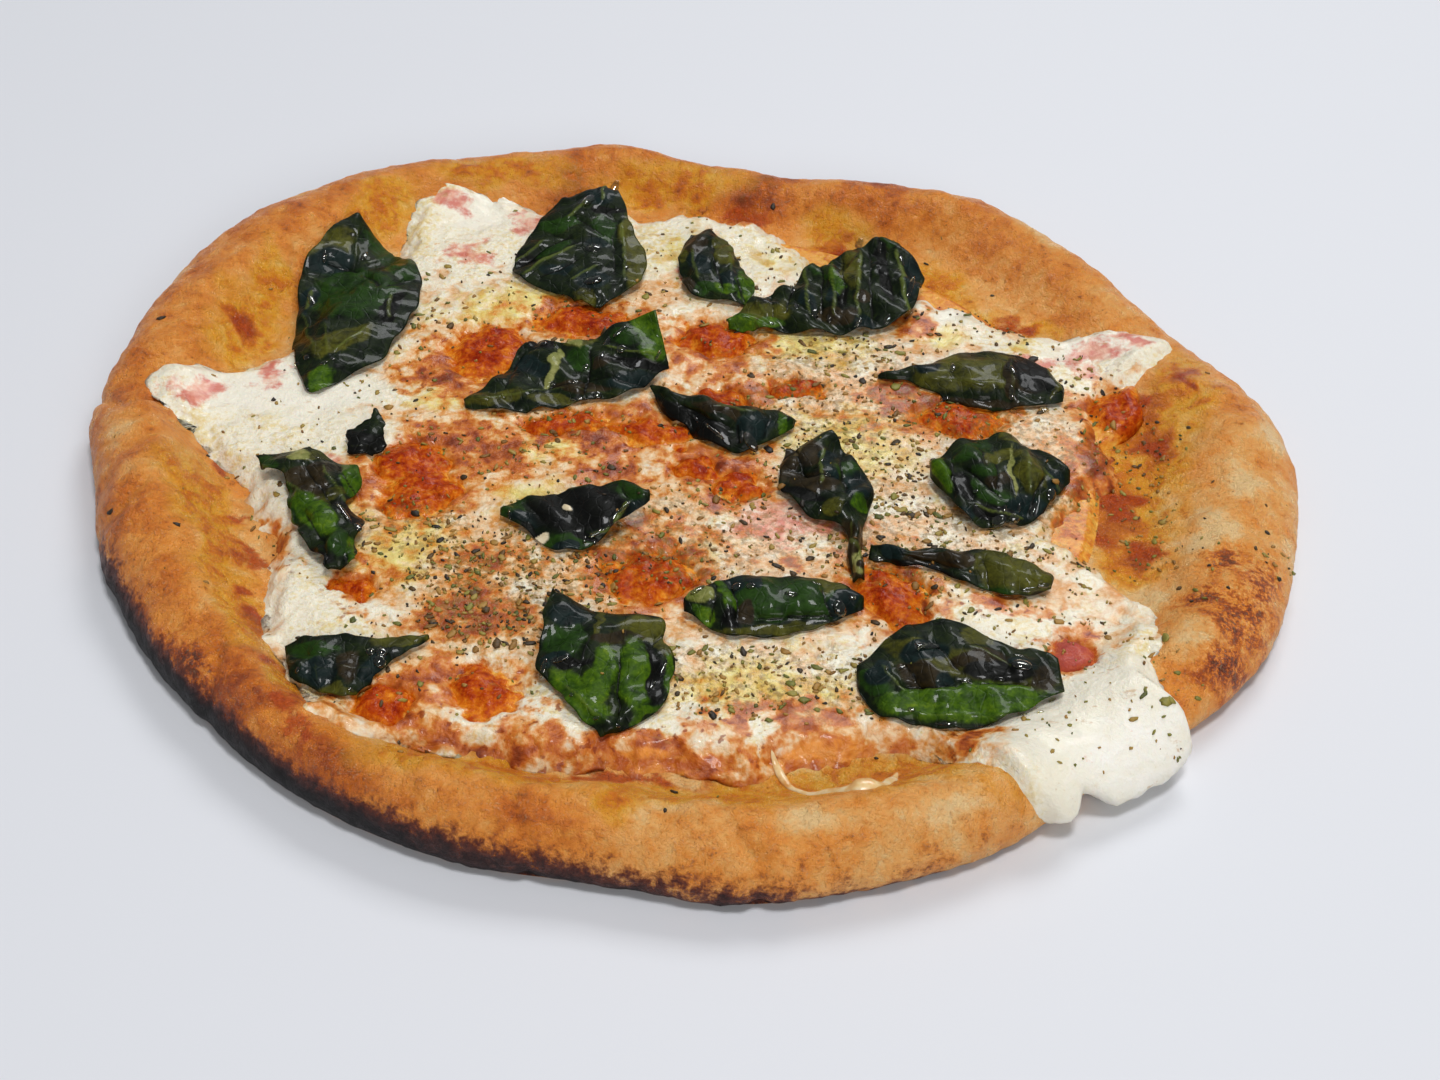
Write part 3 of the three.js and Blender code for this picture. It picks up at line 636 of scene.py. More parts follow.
# middle, size along and across, and turn of each lump of tomato, and of each thick or hollow place
LUMPS = [
    (-70, -10, 16, 15, 0), (-66, -22, 18, 18, 60), (-55, 38, 20, 24, 0), (-31, 54, 24, 13, 0),
    (5, 48, 19, 14, 160), (-10, 6, 22, 10, 170), (-32, 8, 22, 9, 10), (27, 27, 14, 9, 0),
    (8, 20, 14, 10, 150), (70, 17, 20, 12, 0), (114, 22, 16, 18, 0), (12, -14, 12, 11, 0),
    (-8, -50, 19, 16, 15), (50, -54, 14, 22, 25), (92, -72, 11, 9, 0), (-43, -91, 16, 14, 130),
    (-65, -97, 13, 11, 140), (2, -7, 10, 8, 0), (-77, -58, 10, 8, 0),
]
WHITE = [
    (-64, 96, 48, 44, 0), (-108, 8, 60, 44, 0), (-128, 12, 30, 24, 0), (20, 92, 34, 36, 0),
    (70, 67, 24, 24, 0), (108, 48, 48, 30, 20), (-8, 98, 20, 36, 0), (98, -94, 50, 56, 45),
    (88, -116, 24, 26, 0), (112, -48, 14, 22, 0), (-88, -62, 24, 34, 30), (-30, -98, 70, 12, 175),
    (8, -100, 56, 10, 0), (38, -119, 24, 7, 0), (-96, -30, 16, 40, 20), (70, -76, 60, 40, 0),
]
POOLS = [(35, -105.5, 24, 8, 10), (-4, -109, 22, 5, 0)]  # oil stands in them
RAGGED = [(1.5, 17, 0.8), (1.0, 31, 1.9), (0.8, 53, 0.3)]  # depth in mm, waves round, and phase


def spill_share(at):
    return np.exp(-(np.abs(turn_between(SPILL_AT, at) / SPILL_SPAN) ** SPILL_POWER))


def cheese_edge(at):
    ragged = sum(depth * wobble(at, count, phase) for depth, count, phase in RAGGED)
    return CHEESE_RADIUS + swelled(CHEESE_SWELLS, at) + SPILL_REACH * spill_share(at) + ragged


def slant(at):
    """How much longer a radial way to the cheese's edge is than the shortest way to it."""
    turn = np.radians(1.0)
    return np.hypot(1, (cheese_edge(at + 0.5) - cheese_edge(at - 0.5)) / (turn * cheese_edge(at)))


def sauce_edge(at):
    spread = cheese_edge(at) + SAUCE_MARGIN + swelled(SAUCE_SWELLS, at)
    return np.clip(spread, CHEESE_RADIUS - 8, outline(at) - 0.7 * rim_width(at))


def length_to(radius, at):
    """How many mm along the skin a radius is from the middle, with the lobes of the spill."""
    foot, slope, outside = path_lengths(at)
    edge, width = outline(at), rim_width(at)
    crest = edge - CREST_SHARE * width
    on_slope = np.clip((radius - foot) / (crest - foot), 0, 1) * slope
    beyond = np.degrees(np.arcsin(np.clip((radius - crest) / (edge - crest), 0, 1))) / (90 + UNDERCUT)
    lobes = np.minimum(SPILL_DROP + swelled(SPILL_LOBES, at), DROP_MOST)
    over = mix(beyond, lobes, smooth((radius - edge + 3) / 6))
    return np.minimum(radius, foot) + on_slope + over * outside


def sauce_rise(travel):
    return GAP + SAUCE_THICK * mix(1, 0.25, smooth(travel))


angles = np.arange(0, 360, 0.5)
print("cheese reaches", np.round([cheese_edge(angles).min(), cheese_edge(angles).max()]), "mm out")


# %% Shape the sauce with its lumps
def lump_share(x, y):
    return share_of(LUMPS, *strayed(x, y, 3.4, 6.5), 0.5)


SAUCE_STEPS, SAUCE_ROUND = 120, 600  # from the middle to the edge and back, and round the pizza
SAUCE_TOP, SAUCE_UNDER = 0.9, 0.1  # shares of the grid that make the upper side and the under side


def sauce_place(across, along):
    at = 360 * along
    over = across < SAUCE_TOP
    share = np.where(over, across / SAUCE_TOP, (1 - across) / SAUCE_UNDER)
    end = length_to(sauce_edge(at), at)
    travel = travel_after(share * end, at)
    spots = skin(travel, at, 0)
    x, y, _ = spots.T
    thin = smooth((1 - share) * end / 4)
    rough = 0.9 * grain(spots, 4.0, 1.3) + 0.5 * grain(spots, 1.9, 4.4)
    lump = lump_share(x, y) * (CHEESE_THICK + GAP + 0.5 + rough)
    rise = sauce_rise(travel) * thin + lump - 0.3 * (1 - thin)
    return skin(travel, at, np.where(over, rise, -0.35))


sauce_mesh = grid_mesh("tomato_sauce", SAUCE_STEPS, SAUCE_ROUND, sauce_place, weld=0.01)
sauce = linked("tomato_sauce", sauce_mesh)
print("sauce faces:", len(sauce_mesh.polygons))

# %% Shape the cheese
CHEESE_STEPS, CHEESE_ROUND = 128, 660
CHEESE_TOP, CHEESE_UNDER = 0.93, 0.07  # shares of the grid, as for the sauce


def cheese_place(across, along):
    at = 360 * along
    over = across < CHEESE_TOP
    share = np.where(over, across / CHEESE_TOP, (1 - across) / CHEESE_UNDER)
    end = length_to(cheese_edge(at), at)
    travel = travel_after(share * end, at)
    flat = skin(travel, at, 0)
    x, y, _ = flat.T
    tilted = slant(at)
    spilled = spill_share(at) * smooth(2 * travel)

    # how far each spot is from the edge, which is nibbled all round except on the spill
    margin = (1 - share) * end / tilted
    nibbled = (0.7 + 2.2 * grain(flat, 5.2, 3.9) + 1.4 * grain(flat, 2.4, 7.2)) * (1 - spilled) / tilted
    margin = np.maximum(margin - nibbled * smooth((20 - margin) / 14), 0)

    # an uneven sheet that swells on the spill, dips round the lumps and ends in a round edge
    melted = grain(flat, 13, 8.8) + 0.6 * grain(flat, 6, 6.1)
    sheet = CHEESE_THICK * (1 + 0.12 * waves(x, y, 6, 3)) + 0.42 * melted
    sheet = sheet + 0.5 * share_of(WHITE, x, y, 0.8)
    poured = SPILL_THICK * swelled(POURED, at) * smooth((travel - 0.2) / 1.2)
    poured = poured * (1 + 0.25 * smooth((travel - 1.3) / 0.5))
    dip = lump_share(x, y) * (CHEESE_THICK + 1.6) + 1.2 * share_of(POOLS, x, y, 0.7)
    reach = np.clip(margin / (7 - 2.5 * spilled), 0, 1)
    rounded = mix(np.sqrt(reach * (2 - reach)), smooth(reach), 0.3 + 0.5 * spilled)
    rise = (sauce_rise(travel) + GAP) * smooth(margin / 7)
    rise = rise + (sheet + poured - dip) * rounded - 0.5 * (1 - reach)
    spots = skin(travel, at, np.where(over, rise, -0.25))
    spots[:, 2] = np.maximum(spots[:, 2], 0.2)
    return spots


cheese_mesh = grid_mesh("melted_cheese", CHEESE_STEPS, CHEESE_ROUND, cheese_place, weld=0.01)
cheese = linked("melted_cheese", cheese_mesh)
print("cheese faces:", len(cheese_mesh.polygons))

# %% [markdown]
# Melted cheese over sauce is a marbling. Juice of the tomatoes stains it orange, butterfat turns
# it yellow, cream mixed with sauce is pink, and the thick places stay white. As on the dough, the
# broad parts are marks from named oval places, whose edges are strayed until they look poured.

# %% Mark where the toppings are red, orange, yellow and white
# middle, size along and across, and turn
STAINED = [
    (64, -104, 16, 9, 20), (101, -122, 8, 5, 20), (88, -76, 20, 12, 0), (-36, -98, 24, 12, 0),
    (104, 4, 18, 28, 0), (20, -98, 50, 14, 8), (-20, -105, 40, 9, 175), (-4, -108, 30, 8, 0),
    (36, -104, 30, 12, 10), (-68, 24, 28, 12, 0), (-58, 30, 34, 30, 0), (-30, 52, 34, 24, 0),
    (-25, 6, 54, 20, 0), (-68, -16, 34, 40, 0), (6, 44, 30, 26, 0), (10, 20, 26, 20, 0),
    (64, 20, 40, 22, 0), (112, 14, 24, 44, 170), (8, -10, 28, 26, 0), (-46, -6, 22, 16, 0),
    (-8, -48, 36, 34, 0), (-46, -46, 22, 16, 0), (-48, -66, 30, 22, 0), (50, -54, 28, 34, 25),
    (76, -56, 24, 12, 0), (92, -70, 20, 16, 0), (30, -101, 34, 12, 10), (-54, -94, 44, 20, 10),
    (-77, -58, 18, 16, 0), (-14, -113, 34, 7, 178), (100, -16, 18, 34, 10), (25, -44, 12, 8, 0),
    (-58, -4, 26, 18, 0), (-40, -107, 40, 7, 170), (0, -110, 40, 7, 0), (34, -107, 28, 9, 8),
    (-64, -103, 16, 9, 150), (112, -18, 14, 26, 170), (-98, -44, 8, 26, 20), (90, 66, 16, 12, 150),
    (12, 111, 22, 8, 0), (60, 60, 12, 18, 0), (54, 28, 16, 12, 0), (-88, 34, 14, 8, 60),
    (-20, -10, 20, 14, 0),
]
YELLOW = [
    (-68, -45, 24, 26, 0), (-66, 16, 22, 12, 0), (-38, -4, 22, 14, 0), (-38, -24, 22, 16, 0),
    (68, 56, 14, 14, 0), (22, 88, 26, 22, 0), (26, 46, 40, 18, 0), (-6, 90, 20, 30, 0),
    (20, -88, 60, 18, 5), (92, 54, 9, 14, 0), (-50, 60, 40, 20, 30), (40, 4, 40, 30, 0),
    (-84, -36, 12, 20, 0), (100, -120, 13, 9, 0),
]
PINK = [
    (-128, 11, 18, 12, 20), (-112, 25, 12, 10, 60), (-68, 84, 18, 14, 0), (-74, 108, 14, 8, 140),
    (-50, 100, 10, 14, 0), (108, -6, 12, 20, 170), (106, 44, 16, 12, 40), (24, -28, 44, 18, 0),
    (76, -57, 20, 9, 0), (-4, 78, 10, 8, 0), (118, 52, 16, 10, 20), (92, 42, 10, 10, 0),
    (-90, -18, 8, 18, 0), (91, -71, 20, 16, 0),
]
MILKY = [
    (98, -100, 52, 44, 30), (88, -116, 22, 24, 0), (-108, 14, 44, 22, 0), (110, 50, 26, 14, 20),
    (70, 68, 16, 12, 0), (-64, 104, 20, 16, 0),
]
SPILT = [(102, -108, 66, 44, 40)]
HERBY = [
    (-40, -57, 46, 40, 0), (40, 22, 50, 60, 0), (56, -30, 60, 40, 0), (-66, -36, 30, 20, 0),
    (20, -84, 80, 22, 0), (84, 0, 40, 60, 0), (5, -36, 60, 30, 0),
]
# the places of each mark, and how softly they end
TOPPING_MARKS = {
    "orange": (STAINED, 0.9),
    "yellow": (YELLOW, 0.9),
    "pink": (PINK, 0.9),
    "white": (WHITE, 0.7),
    "milky": (MILKY, 0.9),
    "herby": (HERBY, 0.9),
    "spilt": (SPILT, 0.8),
}


def mark_toppings(mesh):
    spots = coordinates(mesh)
    mark(mesh, "tomato", lump_share(spots[:, 0], spots[:, 1]))
    mark(mesh, "pool", share_of(POOLS, spots[:, 0], spots[:, 1], 0.5))
    x, y = strayed(spots[:, 0], spots[:, 1], 6, 11, 2.0)
    for name, (places, soft) in TOPPING_MARKS.items():
        mark(mesh, name, share_of(places, x, y, soft))


for mesh in (sauce_mesh, cheese_mesh):
    mark_toppings(mesh)
    settle(mesh)
print("marks on each topping:", len(TOPPING_MARKS) + 2)


# %% Paint the toppings
def cheese_colours(f, broad, soft, blots, fine):
    """Curds of white cheese with oil, juice and cream between them."""
    white, orange = f.marked("white"), f.marked("orange")
    look = f.ramp(f.plus(fine, blots, 0.8), [(0.7, "eed2a8"), (0.88, "e4b684"), (1.05, "d2924e")])
    curds = f.plus(soft, broad, 0.5, fine, 0.15, white, 0.32, orange, -0.22)
    creams = f.ramp(f.plus(fine, broad, 0.8), [(0.7, "e6dabc"), (0.88, "f0ead6"), (1.1, "e4d096")])
    look = f.blend(f.step(curds, 0.72, 0.95), look, creams)
    milky = f.step(f.plus(f.marked("milky"), soft, 0.8), 0.6, 1.2)
    whites = [(0.2, "f0ead8"), (1.1, "ece6d2"), (1.4, "f6f3ea")]
    look = f.blend(milky, look, f.ramp(f.plus(f.marked("spilt"), soft, 0.6), whites))

    golden = f.plus(f.marked("yellow"), blots, 1.6, soft, 1.0, fine, 1.0, white, -0.3)
    yellows = f.ramp(blots, [(0.4, "ecdc7c"), (0.62, "d0a020")])
    look = f.blend(f.step(golden, 2.05, 2.8, 0.0, 0.85), look, yellows)
    rosy = f.plus(f.marked("pink"), soft, -1.2, fine, 1.0, blots, 0.8)
    pinks = f.ramp(blots, [(0.42, "e6a68c"), (0.6, "cc5644")])
    look = f.blend(f.step(rosy, 0.7, 1.25, 0.0, 0.85), look, pinks)

    juice = f.plus(f.times(orange, 0.52), blots, 1.0, soft, -0.3, fine, 0.3, white, -0.25)
    oranges = [(0.6, "eabc7c"), (0.74, "dc9034"), (0.88, "c46614"), (1.02, "9c400a"), (1.16, "722204")]
    look = f.blend(f.step(juice, 0.58, 0.84, 0.0, 0.95), look, f.ramp(juice, oranges))
    bits = f.times(f.step(f.noise(2.2, 2, 0.5), 0.62, 0.68), f.step(orange, 0.15, 0.7))
    look = f.blend(f.times(bits, 0.7), look, "86300a")
    pool = f.step(f.plus(f.marked("pool"), fine, 0.5), 0.5, 0.9, 0.0, 0.9)
    return f.blend(pool, look, f.ramp(blots, [(0.4, "e8963a"), (0.6, "b85a14")]))


def sauce_colours(f, broad, soft, blots, fine):
    """Orange sauce, where no cheese covers it."""
    oranges = [(0.6, "f0b850"), (0.8, "e0922c"), (0.95, "c8681a"), (1.1, "9c3c0a")]
    return f.ramp(f.plus(soft, fine, 0.6), oranges)


def topping_finish(name, colours):
    f = Finish(name, Subsurface_Weight=0.15, Subsurface_Scale=0.002, Coat_Roughness=0.06)
    f.shader.inputs["Subsurface Radius"].default_value = (1.0, 0.65, 0.4)
    broad, soft = f.noise(14, 2, 0.5, bend=0.3), f.noise(5.5, 4, 0.55, bend=0.4)
    blots, fine = f.noise(4.4, 2, 0.5, bend=0.2), f.noise(1.5, 4, 0.62)
    tiny = f.noise(0.7, 3, 0.6)
    look = colours(f, broad, soft, blots, fine)

    # lumps of tomato, some of them pink with cream
    ragged = f.plus(f.marked("tomato"), soft, 0.9, fine, 0.6)
    lumps = f.step(ragged, 0.9, 1.2)
    flesh = f.plus(f.times(ragged, 0.5), fine, 0.9, blots, 0.9)
    pulp = [(1.25, "ec9a2e"), (1.5, "d06c10"), (1.75, "b04006"), (2.0, "861c02")]
    look = f.blend(lumps, look, f.ramp(flesh, pulp))
    look = f.blend(f.times(lumps, f.step(f.marked("pink"), 0.4, 0.9, 0.0, 0.7)), look, "b85a52")

    # toasted shreds, and a haze of ground herbs
    shreds = f.step(f.noise(2.4, 3, 0.6, f.stretched(0.5, 1, 1)), 0.6, 0.7)
    look = f.blend(f.times(shreds, f.step(broad, 0.4, 0.6, 0.0, 0.5)), look, "b98438")
    haze = f.step(f.noise(1.6, 4, 0.65), 0.45, 0.62)
    look = f.blend(f.times(haze, f.step(f.marked("herby"), 0.1, 0.9, 0.0, 0.7)), look, "86652c")

    # the lumps scatter light, so they mirror less of it than the oily cheese
    wet = f.step(f.plus(ragged, broad, 0.3), 0.9, 2.2, 0.3, 0.15)
    calm = f.step(f.marked("milky"), 0.0, 0.8, 1.0, 0.4)
    swell = f.bump(f.times(f.plus(soft, broad, 0.6), calm), 1.7)
    f.set(Base_Color=look, Roughness=f.plus(wet, tiny, 0.08))
    f.set(Normal=f.bump(f.plus(fine, tiny, 0.2), 0.4, swell))
    f.set(Specular_IOR_Level=f.step(ragged, 0.9, 1.2, 0.3, 0.08))
    f.set(Coat_Weight=f.step(ragged, 0.9, 1.2, 0.14, 0.07))
    return f


topping_finish("wet_sauce", sauce_colours).wear(sauce)
topping_finish("melted_mozzarella", cheese_colours).wear(cheese)
for piece, node, slot in ((sauce, "sauce", "sauce"), (cheese, "cheese", "cheese")):
    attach(piece, "root")
    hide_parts(node)

# %% [markdown]
# ## Basil leaves
#
# Fresh basil goes limp in the heat: the blade sinks onto the cheese, folds along its veins and
# turns nearly black where oil soaks it. Each leaf is a fine grid between a left and a right edge.
# It is laid on what is below it, then gets its folds, and at last a second skin so that it is
# closed. The places of folds and of coloured patches, some of them painted shade and sheen, are
# given as they look from the diner's seat on one level of the table, which is how leaf shapes are
# easiest to judge.

# %% Sizes of the leaves, in mm
LEAF_LIE, LEAF_SKIN = 0.35, 0.35  # how far above its bed a blade lies, and how thick it is
LEAF_LEVEL = 11.0  # the height at which the places of folds and stains are given
# stalk's end, bearing to the tip, length, crown, ripple, and then, from the stalk to the tip, how
# far the left and the right edge are from the middle line and how high they stand
LEAVES = {
    "basil_01": (
        -99, 14, 89, 77, 3.5, 0.8, [1, 5, 8, 9.5, 10.5, 11.5, 12.5, 12.5, 11, 7, 1],
        [2, 8, 15, 18, 20, 21, 21.5, 20.5, 16.5, 9.5, 0], [0, 2, 2], [0, 2, 1],
    ),
    "basil_02": (
        -29, 59, 89, 53, 2.5, 0.9, [1, 21, 24, 20, 15, 2], [2, 12, 13, 9, 5, 1], [1, 1, 8], [1, 3, 9],
    ),
    "basil_03": (14, 63, 119, 34, 3, 1.2, [1, 9, 13, 11, 8, 1], [0, 5, 5, 6, 7, 5], [0, 1, 2], [0, 1, 2]),
    "basil_04": (10, 50, 33, 60, 2.5, 2, [4, 8, 9, 13, 13, 11], [-2, 7, 15, 20, 17, 5], [1, 2, 9], [0, 1, 4]),
    "basil_05": (
        -59, 12, 19, 55, 1.5, 1.3, [2, 9, 21, 14, 14, 13], [1, 6, 7, 7, 7, 1], [0, 2, 11], [0, 0, 2],
    ),
    "basil_06": (49, 32, 355, 49, 3, 0.5, [1, 5, 12, 14, 12, 2], [0, 1, 6, 8, 8, 4], [0, 1, 2], [0, 0, 1]),
    "basil_07": (-11, 22, 340, 40, 4, 0.8, [0, -1, 0, -1, 3, 1], [1, 8, 12, 15, 15, 2], [1, 2, 1], [1, 0, 1]),
    "basil_08": (61, -8, 2, 35, 4, 2, [1, 8, 11, 12, 8, 1], [3, 19, 21, 20, 14, 3], [3, 2, 1], [2, 0, 1]),
    "basil_09": (
        43, -49, 111, 50, 3, 1.8, [2, 0.5, -1, -2.5, 0.5, 4.5, 6.5, 7.3, 6, 4, 1],
        [0.5, 1.8, 3.5, 5.5, 9.5, 13, 14.3, 14.4, 13.6, 12.6, 11.5], [0, 1, 1], [0, 1, 3],
    ),
    "basil_10": (
        -98, -13, 289, 46, 3, 1.5, [2.5, 7.5, 12.5, 13, 11.5, 7.5, 9.5, 11, 8, 7, 6],
        [10.5, 9, 5.5, 5, 5, 5, 5, 4.5, 3.5, 2, 1], [2, 1, 3], [3, 1, 3],
    ),
    "basil_11": (-45, -31, 3, 36, 2, 1, [1, 4, 5, 6, 6, 2], [1, 8, 14, 13, 7, 1], [1, 3, 7], [1, 0, 6]),
    "basil_12": (45, -41, 350, 44, 2, 0.8, [2, 2, 4, 6, 5, 1], [1, 1, 2, 5, 7, 3], [2, 2, 2], [0, 0, 1]),
    "basil_13": (1, -63, 6, 42, 3, 0.8, [1, 6, 7, 7, 6, 1], [2, 9, 10, 9, 7, 2], [3, 3, 2], [1, 0, 1]),
    "basil_14": (-88, -86, 15, 32, 1, 0.5, [5, 5, 4, 2, 1, 1], [6, 11, 14, 8, 4, 0], [2, 2, 1], [1, 0.5, 1]),
    "basil_15": (
        -28.6, -65, 290, 42, 2.5, 1, [1, 5, 11, 21, 21, 20, 20.5, 19, 17, 13.5, 4],
        [1, 3.5, 5.5, 7.5, 9, 10, 8, 6.5, 5.5, 4, 1.5], [4, 2, 0], [7, 2, 0],
    ),
    "basil_16": (
        41, -80, 4, 46, 2.5, 1, [-2, 3.5, 7.5, 10.5, 11.5, 10.5, 8, 4, 2.5, 2, -1],
        [9, 15.5, 17.5, 19, 20, 20.5, 20.5, 18.5, 16, 13.5, 11], [1, 4, 2], [0, 0, 1],
    ),
    "basil_scrap": (-86, -10, 66, 15, 1, 0.6, [0, 2, 4, 2, 1, 1], [2, 5, 7, 5, 3, 0], [0, 2, 3], [0, 1, 3]),
}
